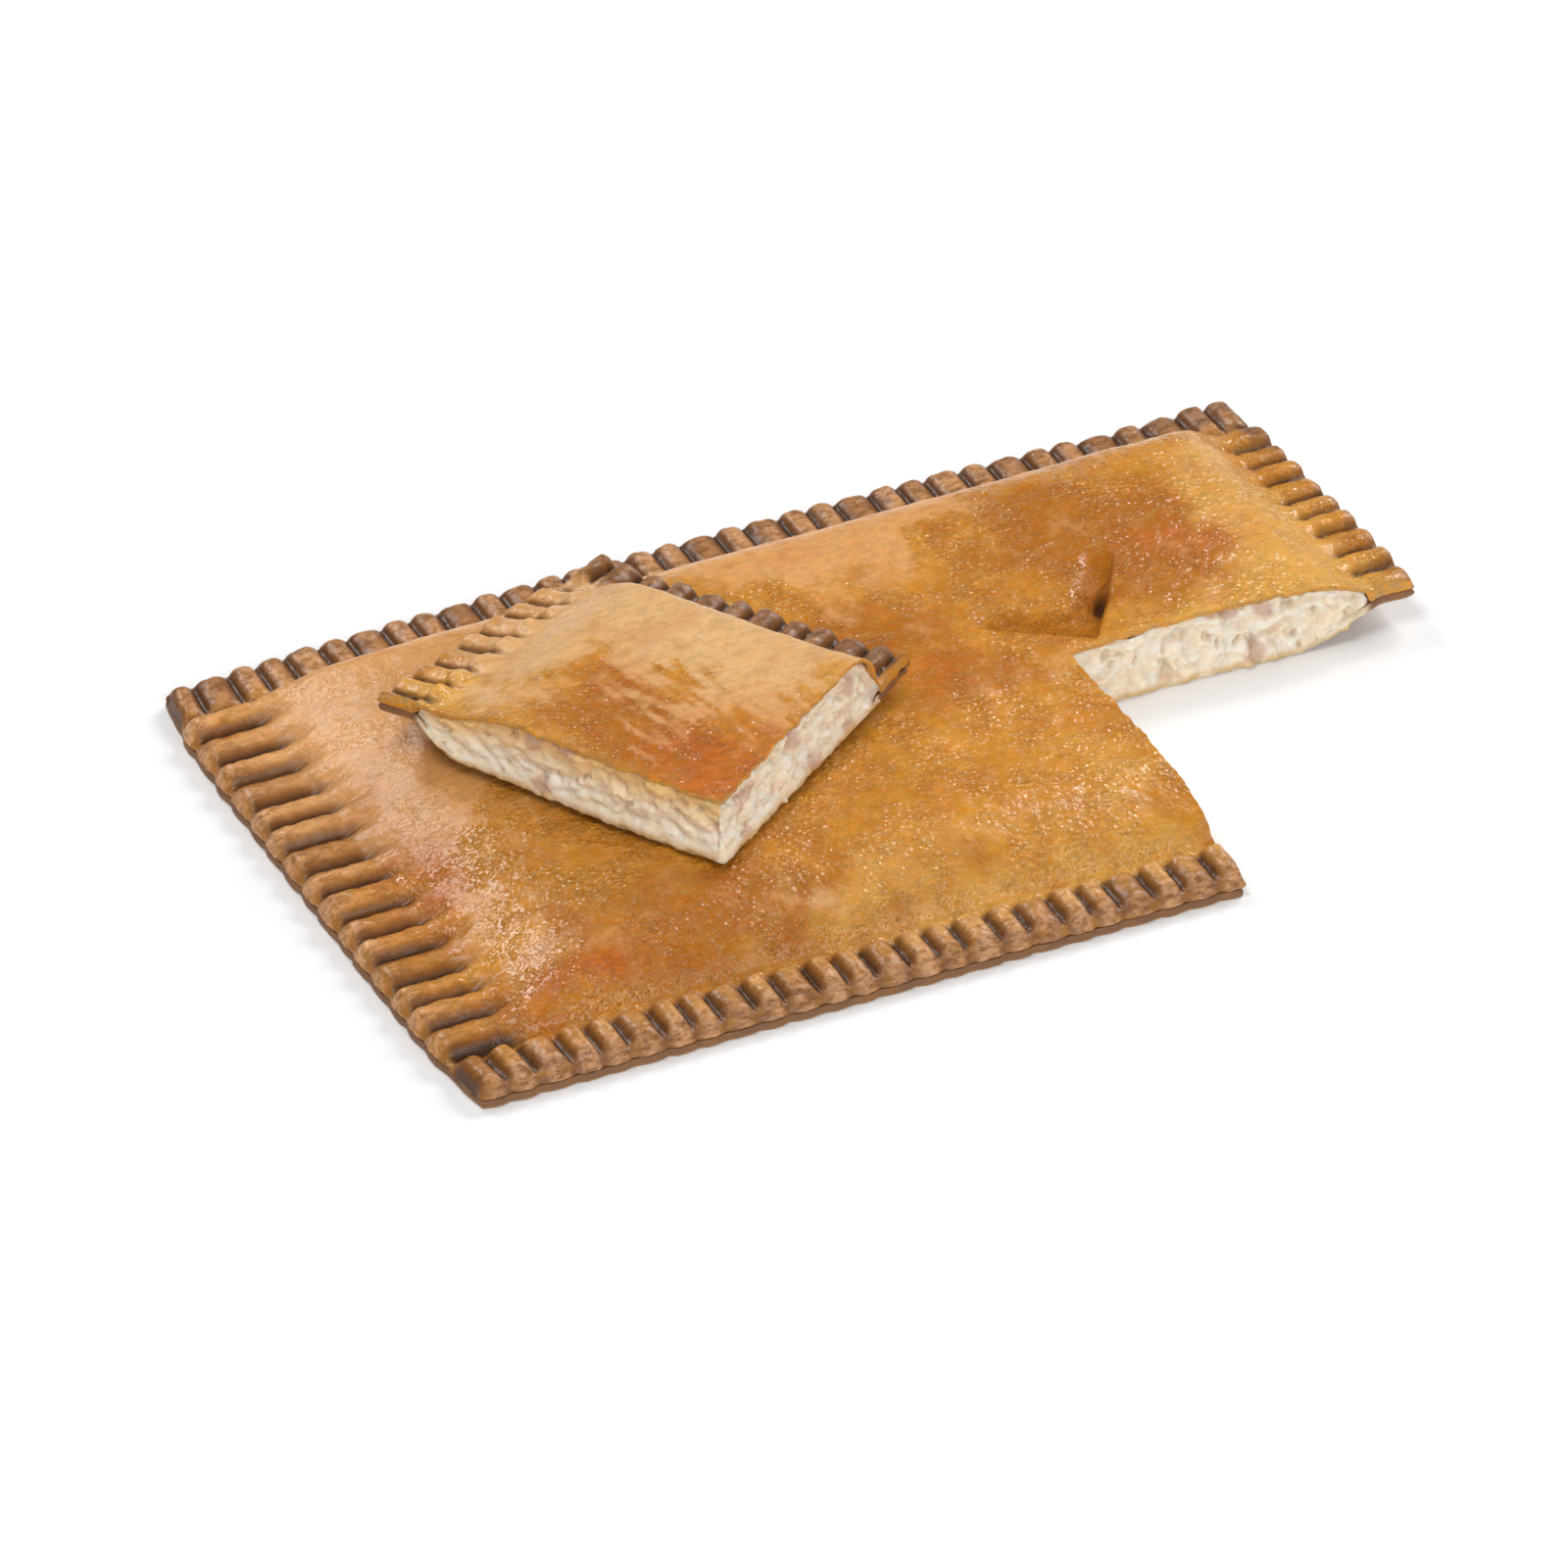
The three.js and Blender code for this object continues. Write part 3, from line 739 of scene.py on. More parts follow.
# Painted shade of the torn dent, darker where it is sunk deeper: between which depths each tone rises, and
# its full strength
DENT_DEPTHS = (0.1, 1.2)
DENT_TONES = dict(flank_shade=dict(depths=(2.0, 3.4), share=0.7), groove=dict(depths=(3.0, 4.6), share=0.9))


def add_dent_tones(tones, x, y):
    drop = torn_dent(x, y)
    tones["dent_shade"] = smoothstep(drop, *DENT_DEPTHS)
    for name, tone in DENT_TONES.items():
        raise_tone(tones, name, tone["share"] * smoothstep(drop, *tone["depths"]))


def crust_tones(x, y, state, form):
    tones = rim_tones(x, y, state, form)
    drift = bumps(SKIN_DRIFT, x, y)

    def uneven_spots(name, level, share):
        return spots(x, y, form.spots[name]) * (level + share * drift)

    if form.torn:
        add_dent_tones(tones, x, y)
    blush = smoothstep(bumps(RED_CLOUD, x, y), *RED_CLOUD["ends"])
    tones["red"] = clamp01(uneven_spots("red", *RED_UNEVEN) + RED_CLOUD["share"] * blush)
    for name, kind in SKIN_CLOUDS.items():
        amount = spots(x, y, form.spots[name]) + bumps(kind, x, y)
        if name == "wash_and_sheen" and form.wrinkled:
            amount = amount + FILM_STREAKS * wrinkles(x, y)
        tones[name] = smoothstep(amount, *kind["ends"])
    tones["painted_highlight"] = clamp01(uneven_spots("painted_highlight", *PALE_UNEVEN))
    scorch = clamp01(uneven_spots("burnt", *BURNT_UNEVEN))
    raise_tone(tones, "burnt", SCORCHED * scorch)
    raise_tone(tones, "brown", scorch)
    return tones


WALL_SHARES = np.array([0.1, 0.3, 0.5, 0.7, 0.9, 1.0])
WALL_BULGE = 0.25
WALL_ROUGH = dict(cell=1.6, height=0.18, seed=91)
WALL_FRESH = 0.25
FLANGE = 3.0


def top_sheet(name, plan, form):
    top, hollow, state = crust_heights(plan.x, plan.y, form)
    looks = crust_tones(plan.x, plan.y, state, form)
    px, py = outlined(plan.x, plan.y)
    shell = Shell(CRUST_TONES)
    shell.add(as_points(px, py, top), plan.quads, **looks)

    loop, cut = outline(plan)
    px, py = px[loop], py[loop]
    ox, oy, run = sheet_edge(px, py)
    thin = cut_edge_low(plan.x[loop], plan.y[loop], top[loop], hollow[loop], form)
    low = np.where(cut > 0, thin, hollow[loop])
    rows = [as_points(px, py, top[loop])]
    for share in WALL_SHARES:
        z = lerp(top[loop], low, share)
        out = WALL_BULGE * math.sin(math.pi * share) + bumps(WALL_ROUGH, run, z)
        rows.append(as_points(px + out * ox, py + out * oy, z))
    rows.append(as_points(px - FLANGE * ox, py - FLANGE * oy, low))
    edge_looks = {key: value[loop] for key, value in looks.items()}
    fresh = np.concatenate([[0.0], np.minimum(1, WALL_SHARES / WALL_FRESH), [1.0]])[:, None] * cut
    shell.add_rows(np.array(rows)[::-1], True, cut=fresh[::-1], **edge_looks)
    return shell.make(name, crust_material(), form.place)


# Filling: fine cut faces in front of a plain core
FILLING_TONES = ("lump", "pit_shade", "low", "face_shade")
FACE_STEP = 0.4
FACE_ROWS = 40
FACE_DEPTH = 7.0
FACE_DROP = 5.0
FACE_BACK_LEAST = 0.5
FACE_FOOT = 0.7
FACE_LAP = 0.15
FACE_TURN = 0.2
FOOT_RAGGED = dict(cell=4.0, height=0.6, seed=171)

# Relief of the faces: puffs with creases between them, holes, strands, crumbs, lumps and recesses
FACE_SET_BACK = 0.5
SWERVE = dict(cell=5.0, seed=141)
BILLOWS = (
    dict(cell=8.0, height=2.8, seed=101),
    dict(cell=4.2, height=1.1, seed=103),
    dict(cell=2.1, height=0.35, seed=105),
)
BILLOW_FLAT = 1.2
BILLOW_MEAN = 0.4
BILLOW_SOFT = 0.12
# The tones of creases and recesses give painted shade, as do the holes
CREASE = dict(width=0.25, tone=0.12)
HOLES = dict(cell=5.0, radius=0.2, core=0.4, rarity=0.5, sway=(0.5, 0.0), depth=1.2, seed=181)
SHRED = dict(cell=3.0, stretch=2.2, slant=0.4, height=0.45, seed=111)
CRUMBLE = dict(cell=0.9, height=0.16, seed=121)
MEAT_LUMPS = dict(cell=10.0, radius=0.38, core=0.5, rarity=0.62, sway=(1.0, 0.6), height=0.5, seed=131)
RECESS = dict(cell=5.0, height=1.0, ends=(0.3, 0.8), depth=1.1, tone=0.5, seed=161)

# The foot of a face doesn't stand back far, and its top is tucked under the crust
FOOT_RELIEF = -0.2
FOOT_SHARES = (0.05, 0.25)
TUCK = 0.7
TUCK_SHARES = (0.85, 1.0)

# How chunky the filling is, and how much painted shade its face gets under the crust, at the cut that runs to
# the right, and at the other one
BODY_CUTS = dict(chunky=(1.6, 1.2), face_shade=(0.0, 0.1))
PIECE_CUTS = dict(chunky=(0.9, 1.2), face_shade=(1.0, 0.15))


def scattered(run, z, bend, kind):
    """Round marks at some of the scattered seeds: 1 in the core of each, 0 outside it."""
    along, up = kind["sway"]
    near, lot = pebbles(run + along * bend, z + up * bend, kind["cell"], kind["seed"])
    mark = 1 - smoothstep(near, kind["core"] * kind["radius"], kind["radius"])
    return mark * (lot > kind["rarity"])


def filling_relief(run, z, share, chunky):
    """How far the cut face stands out, with the tone of its lumps and the painted shade of its creases,
    recesses and holes.
    """
    bend = noise(run, z, SWERVE["cell"], SWERVE["seed"])
    relief, crease = -FACE_SET_BACK, 0.0
    for billow in BILLOWS:
        puff = noise(run + bend, BILLOW_FLAT * z + bend, billow["cell"], billow["seed"])
        puff = np.hypot(puff, BILLOW_SOFT)
        relief = relief + chunky * billow["height"] * (puff - BILLOW_MEAN)
        crease = crease + chunky * CREASE["tone"] * (1 - smoothstep(puff, BILLOW_SOFT, CREASE["width"]))
    hole = scattered(run, z, bend, HOLES) * chunky
    lump = scattered(run, z, bend, MEAT_LUMPS)
    recess = chunky * smoothstep(bumps(RECESS, run, z + bend), *RECESS["ends"])
    relief = relief + bumps(SHRED, run / SHRED["stretch"] + SHRED["slant"] * z, z) + bumps(CRUMBLE, run, z)
    relief = relief + MEAT_LUMPS["height"] * lump - RECESS["depth"] * recess - HOLES["depth"] * hole
    relief = lerp(np.maximum(relief, FOOT_RELIEF), relief, smoothstep(share, *FOOT_SHARES))
    # Painted shade in recesses, creases and holes
    pit_shade = clamp01(RECESS["tone"] * recess + crease + hole)
    return relief - TUCK * smoothstep(share, *TUCK_SHARES), lump, pit_shade


def resampled(points, step):
    """Points at even steps along an open line."""
    run = np.append(0, np.cumsum(np.hypot(*np.diff(points, axis=0).T)))
    places = spread(0, run[-1], step)
    return np.stack([np.interp(places, run, points[:, k]) for k in (0, 1)], -1), places


def cut_faces(shell, path, form):
    """Rough faces along the cut. Outward lies to the right of the path where facing is 1, and else left."""
    facing, lean = form.facing, form.lean
    line, run = resampled(path, FACE_STEP)
    room = crust_heights(*line.T, form)[1] - curl(*line.T, form)
    tall = room > SEAM_Z + FACE_LOWEST
    run = run[tall]
    lx, ly = line[tall].T
    tx, ty = np.gradient(lx), np.gradient(ly)
    length = np.hypot(tx, ty)
    ox, oy = facing * ty / length, -facing * tx / length

    top, hollow, _ = crust_heights(lx, ly, form)
    floor = FACE_FOOT + bumps(FOOT_RAGGED, run, 0 * run) + curl(lx, ly, form)
    ceiling = cut_edge_low(lx, ly, top, hollow, form) + FACE_LAP
    share = np.repeat(np.linspace(0, 1, FACE_ROWS)[:, None], len(run), 1)
    z = lerp(floor, ceiling, share)
    on_left = smoothstep(np.abs(ty / length) - np.abs(tx / length), -FACE_TURN, FACE_TURN)
    chunky = lerp(*form.cuts["chunky"], on_left)
    relief, lump, pit_shade = filling_relief(run + 0 * z, z, share, chunky)
    low = 1 - z / CROWN_Z
    x = lx - low * lean["left"] * on_left + relief * ox
    y = ly - low * lean["front"] * (1 - on_left) + relief * oy

    inner = (lx - FACE_DEPTH * ox, ly - FACE_DEPTH * oy)
    levels = (z[0], np.maximum(z[0] + FACE_BACK_LEAST, z[-1] - FACE_DROP))
    foot, head = (as_points(*inner, level)[None] for level in levels)
    rows = np.concatenate([foot, as_points(x, y, z), head])
    tones = dict(lump=lump, pit_shade=pit_shade, face_shade=lerp(*form.cuts["face_shade"], on_left) + 0 * z, low=1 - share)
    padded = {key: np.pad(tone[:, ::facing], [(1, 1), (0, 0)]) for key, tone in tones.items()}
    shell.add_rows(rows[:, ::facing], False, **padded)


# Plain core behind the faces: how far it stays below the crust and inside the rim and the cuts
CORE_DROP = 1.8
CORE_LAP = 0.05
CORE_LEAST = 0.1
CORE_RIM = 17.0
CORE_SHIFT = 3.0


def filling_core(shell, plan, form):
    _, hollow, _ = crust_heights(plan.x, plan.y, form)
    floor = SEAM_Z - CORE_LAP + curl(plan.x, plan.y, form)
    ceiling = np.maximum(hollow - CORE_DROP, floor + CORE_LEAST)
    shell.add(as_points(plan.x, plan.y, ceiling), plan.quads)
    shell.add(as_points(plan.x, plan.y, floor), plan.quads[:, ::-1])
    loop, _ = outline(plan)
    rows = [as_points(plan.x[loop], plan.y[loop], level[loop]) for level in (floor, ceiling)]
    shell.add_rows(np.array(rows), True)


def shrunk(plan, facing):
    """The plan drawn in from its rim and moved away from its cuts."""
    x = np.clip(plan.x, -HALF_X + CORE_RIM, HALF_X - CORE_RIM)
    y = np.clip(plan.y, -HALF_Y + CORE_RIM, HALF_Y - CORE_RIM)
    return Plan(x - facing * CORE_SHIFT, y + facing * CORE_SHIFT, plan.quads, plan.runs)


def filling_piece(name, plan, form):
    shell = Shell(FILLING_TONES)
    filling_core(shell, shrunk(plan, form.facing), form)
    left, back = plan.runs["cut_left"], plan.runs["cut_back"]
    path = np.concatenate([left, back[1:]]) if form.facing > 0 else np.concatenate([back, left[1:]])[::-1]
    cut_faces(shell, np.stack([plan.x[path], plan.y[path]], -1), form)
    return shell.make(name, filling_material(), form.place)


# Bottom sheet
BASE_TONES = ("cut", "under")
BASE_RAGGED = dict(cell=1.8, height=0.5, seed=151)
BASE_SHARES = (0.0, 0.2, 0.5, 0.8, 1.0)
BASE_BULGE = 0.35
FRESH_SHARES = (0.0, 0.15)


def bottom_sheet(name, plan, form):
    px, py = outlined(plan.x, plan.y)
    rise = curl(plan.x, plan.y, form)
    shell = Shell(BASE_TONES)
    shell.add(as_points(px, py, BASE_SHEET + rise), plan.quads)
    shell.add(as_points(px, py, rise), plan.quads[:, ::-1], under=1.0)
    loop, cut = outline(plan)
    px, py = px[loop], py[loop]
    ox, oy, run = sheet_edge(px, py)
    rows = []
    for share in BASE_SHARES:
        level = share * BASE_SHEET
        out = math.sin(math.pi * share) * (BASE_BULGE + bumps(BASE_RAGGED, run, level + 0 * run))
        rows.append(as_points(px + out * ox, py + out * oy, level + rise[loop]))
    fresh = cut * smoothstep(dome_share(plan.x[loop], plan.y[loop], form), *FRESH_SHARES)
    shell.add_rows(np.array(rows), True, cut=fresh, under=1 - np.array(BASE_SHARES)[:, None])
    return shell.make(name, base_material(), form.place)


# Materials
class Tree:
    """A node material with short calls to add and link its nodes."""

    def __init__(self, name):
        self.material = bpy.data.materials.new(name)
        self.material.use_nodes = True
        self.tree = self.material.node_tree
        self.tree.nodes.clear()
        self.shader = self.add("ShaderNodeBsdfPrincipled")
        self.link(self.shader.outputs[0], self.add("ShaderNodeOutputMaterial").inputs[0])
        self.place = self.add("ShaderNodeTexCoord").outputs["Object"]

    def add(self, kind, **settings):
        node = self.tree.nodes.new(kind)
        for key, value in settings.items():
            setattr(node, key, value)
        return node

    def link(self, source, target):
        self.tree.links.new(source, target)

    def set(self, name, value):
        self.feed(self.shader.inputs[name], value)

    def feed(self, socket, value):
        if isinstance(value, bpy.types.NodeSocket):
            self.link(value, socket)
        else:
            socket.default_value = value

    def value(self, name):
        return self.add("ShaderNodeAttribute", attribute_name=name).outputs["Fac"]

    def noise(self, cell_mm, detail=3.0, rough=0.55, stretch=None):
        node = self.add("ShaderNodeTexNoise")
        node.inputs["Scale"].default_value = 1 / (cell_mm * MM)
        node.inputs["Detail"].default_value = detail
        node.inputs["Roughness"].default_value = rough
        place = self.place
        if stretch:
            mapping = self.add("ShaderNodeMapping")
            mapping.inputs["Scale"].default_value = stretch
            self.link(place, mapping.inputs["Vector"])
            place = mapping.outputs[0]
        self.link(place, node.inputs["Vector"])
        return node.outputs["Fac"]

    def cells(self, cell_mm):
        node = self.add("ShaderNodeTexVoronoi", feature="F1")
        node.inputs["Scale"].default_value = 1 / (cell_mm * MM)
        self.link(self.place, node.inputs["Vector"])
        return node.outputs["Distance"]

    def ramp(self, value, low, high, start=0.0, end=1.0):
        node = self.add("ShaderNodeMapRange", interpolation_type="SMOOTHSTEP")
        for socket, number in zip(node.inputs[1:5], (low, high, start, end)):
            socket.default_value = number
        self.feed(node.inputs["Value"], value)
        return node.outputs[0]

    def math(self, operation, a, b):
        node = self.add("ShaderNodeMath", operation=operation)
        self.feed(node.inputs[0], a)
        self.feed(node.inputs[1], b)
        return node.outputs[0]

    def times(self, a, b):
        return self.math("MULTIPLY", a, b)

    def most(self, a, b):
        return self.math("MAXIMUM", a, b)

    def mix(self, share, a, b, blend="MIX"):
        node = self.add("ShaderNodeMix", data_type="RGBA", blend_type=blend)
        self.feed(node.inputs["Factor"], share)
        self.feed(node.inputs[6], a)
        self.feed(node.inputs[7], b)
        return node.outputs[2]

    def bump(self, height, distance_mm, strength=1.0, below=None):
        node = self.add("ShaderNodeBump")
        node.inputs["Strength"].default_value = strength
        node.inputs["Distance"].default_value = distance_mm * MM
        self.link(height, node.inputs["Height"])
        if below:
            self.link(below, node.inputs["Normal"])
        return node.outputs[0]


def colour(red, green, blue):
    return (red, green, blue, 1.0)


GOLD = colour(0.66, 0.275, 0.018)
AMBER = colour(0.37, 0.103, 0.004)
FILM_AND_SHEEN_TAN = colour(0.70, 0.350, 0.130)
PAINTED_SHEEN_FILM = colour(0.73, 0.455, 0.22)
STRAW = colour(0.74, 0.390, 0.075)
PAINTED_GLINT = colour(0.84, 0.49, 0.16)
COAT_GOLD = colour(1.0, 0.92, 0.62)
RUST = colour(0.47, 0.110, 0.012)
DENT_SHADE_AMBER = colour(0.34, 0.105, 0.007)
RIM_BROWN = colour(0.25, 0.105, 0.042)
RIM_OCHRE = colour(0.38, 0.165, 0.034)
CREST_HIGHLIGHT_TAN = colour(0.68, 0.36, 0.18)
FLANK_SHADE = colour(0.20, 0.068, 0.014)
BURNT = colour(0.085, 0.046, 0.030)
GROOVE_SHADE = colour(0.040, 0.017, 0.008)
DOUGH = colour(0.60, 0.33, 0.095)
CREAM = colour(0.96, 0.79, 0.59)
MILK = colour(0.98, 0.90, 0.79)
FACE_SHADE_BEIGE = colour(0.92, 0.58, 0.24)
MEAT = colour(0.60, 0.385, 0.29)
PIT_SHADE_BROWN = colour(0.56, 0.36, 0.17)
FOOT_GOLD = colour(0.72, 0.44, 0.16)
BASE_BROWN = colour(0.22, 0.100, 0.043)
BASE_ORANGE = colour(0.32, 0.165, 0.065)
BASE_PALE = colour(0.76, 0.60, 0.37)

# Grains of the crust: cell in millimetres, detail and roughness of each, and its stretch along the sides
CRUST_GRAINS = dict(
    patch=(7.0, 5, 0.65),
    speck=(1.8, 4, 0.75, (0.5, 1.0, 1.0)),
    glint_grain=(1.1, 4, 0.75, (0.6, 1.0, 1.0)),
    dapple=(4.0, 5, 0.7),
    cluster=(13.0, 4, 0.6),
    blister=(0.8, 3, 0.65),
    leather=(1.7, 2, 0.5),
)
BUBBLE_CELL = 1.9
BUBBLE_HEIGHT = 0.26
BLISTER_HEIGHT = 0.3
LEATHER_HEIGHT = 0.22
TONE_SHARE = 0.8
FILM_SHARE = 0.85
GROOVE_SHARE = 0.9
CRUST_IOR = 1.45
COAT_SHARE = 0.35
COAT_ROUGHNESS = 0.1


def skin_colour(t, grain, wash_and_sheen, rough_skin):
    """Golden skin, from its broad patches and film to its specks, flecks and stains; the film is partly
    painted sheen, the lighter side of the specks, the flecks and the lighter spots are painted glints and
    sheen, and the sunk places of the tear get painted shade.
    """
    base = t.mix(t.ramp(grain["patch"], 0.30, 0.74, 0.1, 0.7), GOLD, AMBER)
    base = t.mix(t.times(t.value("deep"), TONE_SHARE), base, AMBER)
    base = t.mix(t.times(t.value("straw"), TONE_SHARE), base, STRAW)
    # Pale egg-wash film: partly its own colour, partly painted sheen, with more painted sheen where the pale
    # tone is
    base = t.mix(t.times(wash_and_sheen, FILM_SHARE), base, t.mix(t.value("painted_highlight"), FILM_AND_SHEEN_TAN, PAINTED_SHEEN_FILM))
    # The dark side of the speck grain is the crust's own grain; its light side and the flecks are painted
    # glints
    base = t.mix(t.times(t.ramp(grain["speck"], 0.52, 0.72, 0.0, 0.65), rough_skin), base, AMBER)
    base = t.mix(t.times(t.ramp(grain["speck"], 0.48, 0.30, 0.0, 0.65), rough_skin), base, STRAW)
    glint_marks = t.times(t.ramp(grain["glint_grain"], 0.46, 0.72, 0.0, 0.7), t.ramp(grain["cluster"], 0.36, 0.6, 0.2))
    glint_marks = t.times(glint_marks, t.ramp(t.value("deep"), 0.1, 0.9, 1.0, 0.3))
    base = t.mix(t.times(glint_marks, rough_skin), base, PAINTED_GLINT)
    base = t.mix(t.times(t.value("red"), TONE_SHARE), base, RUST)
    # Painted shade in the sunk places of the torn dent
    return t.mix(t.times(t.value("dent_shade"), TONE_SHARE), base, DENT_SHADE_AMBER)


def rim_colour(t, grain):
    """Brown rim with painted highlights on its crests and burnt places."""
    rim = t.mix(t.ramp(grain["dapple"], 0.42, 0.62), RIM_BROWN, RIM_OCHRE)
    # Painted highlight on the crests
    rim = t.mix(t.times(t.value("painted_crest_highlight"), t.ramp(grain["speck"], 0.35, 0.6)), rim, CREST_HIGHLIGHT_TAN)
    return t.mix(t.times(t.value("burnt"), t.ramp(grain["patch"], 0.3, 0.55, 1.0, 0.6)), rim, BURNT)


def crust_colour(t, grain, wash_and_sheen, rough_skin):
    base = t.mix(t.value("brown"), skin_colour(t, grain, wash_and_sheen, rough_skin), rim_colour(t, grain))
    # Painted shade on the lower flanks of the ridges
    base = t.mix(t.value("flank_shade"), base, FLANK_SHADE)
    # Painted shade in the grooves
    base = t.mix(t.times(t.value("groove"), GROOVE_SHARE), base, GROOVE_SHADE)
    base = t.mix(t.value("cut"), base, t.mix(t.ramp(grain["speck"], 0.4, 0.6), DOUGH, GOLD))
    # Fine grain multiplied in; in the film it also stands in for glints, a painted highlight
    speckled = t.ramp(t.most(wash_and_sheen, t.value("brown")), 0.0, 1.0, 1.0, 0.7)
    return t.mix(speckled, base, t.ramp(grain["speck"], 0.3, 0.7, 0.78, 1.22), "MULTIPLY")


def crust_bumps(t, grain, wash_and_sheen, dull, blistered):
    """Blisters and bubbles of the bare skin, and the leathery film."""
    blister = t.ramp(grain["blister"], 0.5, 0.70)
    bubble = t.ramp(t.cells(BUBBLE_CELL), 0.1, 0.6, 1.0, 0.0)
    film = t.times(wash_and_sheen, t.ramp(dull, 0.0, 0.5, 1.0, 0.0))
    skin = t.bump(t.times(blister, blistered), BLISTER_HEIGHT, 0.8)
    skin = t.bump(t.times(bubble, blistered), BUBBLE_HEIGHT, 1.0, skin)
    return t.bump(t.times(grain["leather"], film), LEATHER_HEIGHT, 1.0, skin)


@cache
def crust_material():
    t = Tree("baked_crust")
    grain = {name: t.noise(*settings) for name, settings in CRUST_GRAINS.items()}
    dappled = t.math("ADD", t.value("wash_and_sheen"), t.ramp(grain["dapple"], 0.3, 0.7, -0.3, 0.3))
    wash_and_sheen = t.ramp(dappled, -0.1, 1.1)
    rough_skin = t.ramp(wash_and_sheen, 0.0, 1.0, 1.0, 0.3)
    dull = t.most(t.value("brown"), t.most(t.value("groove"), t.value("flank_shade")))
    bare = t.ramp(t.value("dent_shade"), 0.0, 0.8, 1.0, 0.12)
    blistered = t.times(rough_skin, t.ramp(grain["cluster"], 0.40, 0.58, 0.2, 1.0))
    blistered = t.times(blistered, t.ramp(dull, 0.0, 0.5, 1.0, 0.3))
    skin = crust_bumps(t, grain, wash_and_sheen, dull, blistered)
    t.set("Base Color", crust_colour(t, grain, wash_and_sheen, rough_skin))
    t.set("Roughness", t.most(t.ramp(wash_and_sheen, 0.0, 1.0, 0.21, 0.32), t.ramp(dull, 0.1, 0.8, 0.21, 0.33)))
    t.set("Specular IOR Level", t.times(t.ramp(dull, 0.1, 0.8, 0.38, 0.35), bare))
    t.set("IOR", CRUST_IOR)
    t.set("Normal", skin)
    t.set("Coat Normal", skin)
    t.set("Coat Weight", t.times(t.times(blistered, COAT_SHARE), bare))
    t.set("Coat Roughness", COAT_ROUGHNESS)
    t.set("Coat Tint", COAT_GOLD)
    return t.material


STREAK_GRAIN = (3.5, 4, 0.6, (0.6, 0.6, 1.6))
LUMP_SHARE = 0.75
PIT_SHADE_SHARE = 0.38
SOFT_SHARE = 0.5
SOFT_RADIUS = (1.0, 0.6, 0.35)
SOFT_REACH = 2.5


@cache
def filling_material():
    t = Tree("pale_filling")
    low = t.value("low")
    streak = t.noise(*STREAK_GRAIN)
    base = t.mix(t.ramp(streak, 0.35, 0.65), CREAM, MILK)
    # Painted shade on the cut face, strongest at its top under the crust
    base = t.mix(t.times(t.value("face_shade"), t.ramp(low, 0.05, 0.7, 1.0, 0.1)), base, FACE_SHADE_BEIGE)
    base = t.mix(t.times(t.value("lump"), LUMP_SHARE), base, MEAT)
    # Painted shade in the creases, recesses and holes of the cut face
    base = t.mix(t.times(t.value("pit_shade"), PIT_SHADE_SHARE), base, PIT_SHADE_BROWN)
    base = t.mix(t.times(t.ramp(low, 0.84, 1.0), t.ramp(streak, 0.3, 0.6)), base, FOOT_GOLD)
    t.set("Base Color", base)
    t.set("Roughness", t.ramp(streak, 0.3, 0.7, 0.18, 0.36))
    t.set("Normal", t.bump(t.noise(0.8), 0.35, 0.6))
    t.set("Subsurface Weight", SOFT_SHARE)
    t.set("Subsurface Radius", SOFT_RADIUS)
    t.set("Subsurface Scale", SOFT_REACH * MM)
    return t.material


@cache
def base_material():
    t = Tree("base_dough")
    patch = t.noise(5.0, 4, 0.6)
    base = t.mix(t.ramp(t.value("under"), 0.45, 0.85), BASE_BROWN, BASE_ORANGE)
    base = t.mix(t.ramp(patch, 0.4, 0.7, 0.0, 0.4), base, RIM_OCHRE)
    base = t.mix(t.value("cut"), base, t.mix(t.ramp(patch, 0.5, 0.65, 0.0, 0.6), BASE_PALE, BASE_ORANGE))
    t.set("Base Color", base)
    t.set("Roughness", 0.6)
    t.set("Normal", t.bump(t.noise(1.2), 0.3, 0.5))
    return t.material


# Stage: floor, soft light all round, softboxes with their size in metres and power in watts, and the camera
FLOOR_HALF = 6.0
FLOOR_WHITE = colour(0.88, 0.88, 0.88)
FLOOR_GLOW = 0.05
WHITE = colour(1.0, 1.0, 1.0)
WORLD_GLOW = 0.1
SOFTBOXES = dict(
    back_softbox=dict(place=(-0.3, 1.0, 0.9), size=(0.5, 0.4), power=6.2),
    small_softbox=dict(place=(0.8, 0.67, 0.94), size=(0.2, 0.2), power=3.0),
    top_softbox=dict(place=(-0.55, -0.1, 1.35), size=(0.55, 0.55), power=6.4),
    side_softbox=dict(place=(1.15, 0.4, 0.85), size=(0.7, 0.7), power=10.5),
    front_softbox=dict(place=(-0.15, -1.25, 0.75), size=(1.7, 0.6), power=12.0),
)


def floor_material():
    t = Tree("studio_floor")
    t.set("Base Color", FLOOR_WHITE)
    t.set("Emission Color", WHITE)
    t.set("Emission Strength", FLOOR_GLOW)
    t.set("Roughness", 0.9)
    t.set("Specular IOR Level", 0.0)
    return t.material


def add_floor():
    mesh = bpy.data.meshes.new("studio_floor")
    corners = [(x * FLOOR_HALF, y * FLOOR_HALF, 0) for x, y in ((-1, -1), (1, -1), (1, 1), (-1, 1))]
    mesh.from_pydata(corners, [], [(0, 1, 2, 3)])
    mesh.materials.append(floor_material())
    floor = add_object("studio_floor", mesh)


def aim(item, place, direction):
    item.location = place
    item.rotation_mode = "QUATERNION"
    item.rotation_quaternion = direction.to_track_quat("-Z", "Y")


def add_softbox(name, place, size, power):
    light = bpy.data.lights.new(name, "AREA")
    light.shape = "RECTANGLE"
    light.size, light.size_y = size
    light.energy = power
    aim(add_object(name, light), place, -Vector(place))


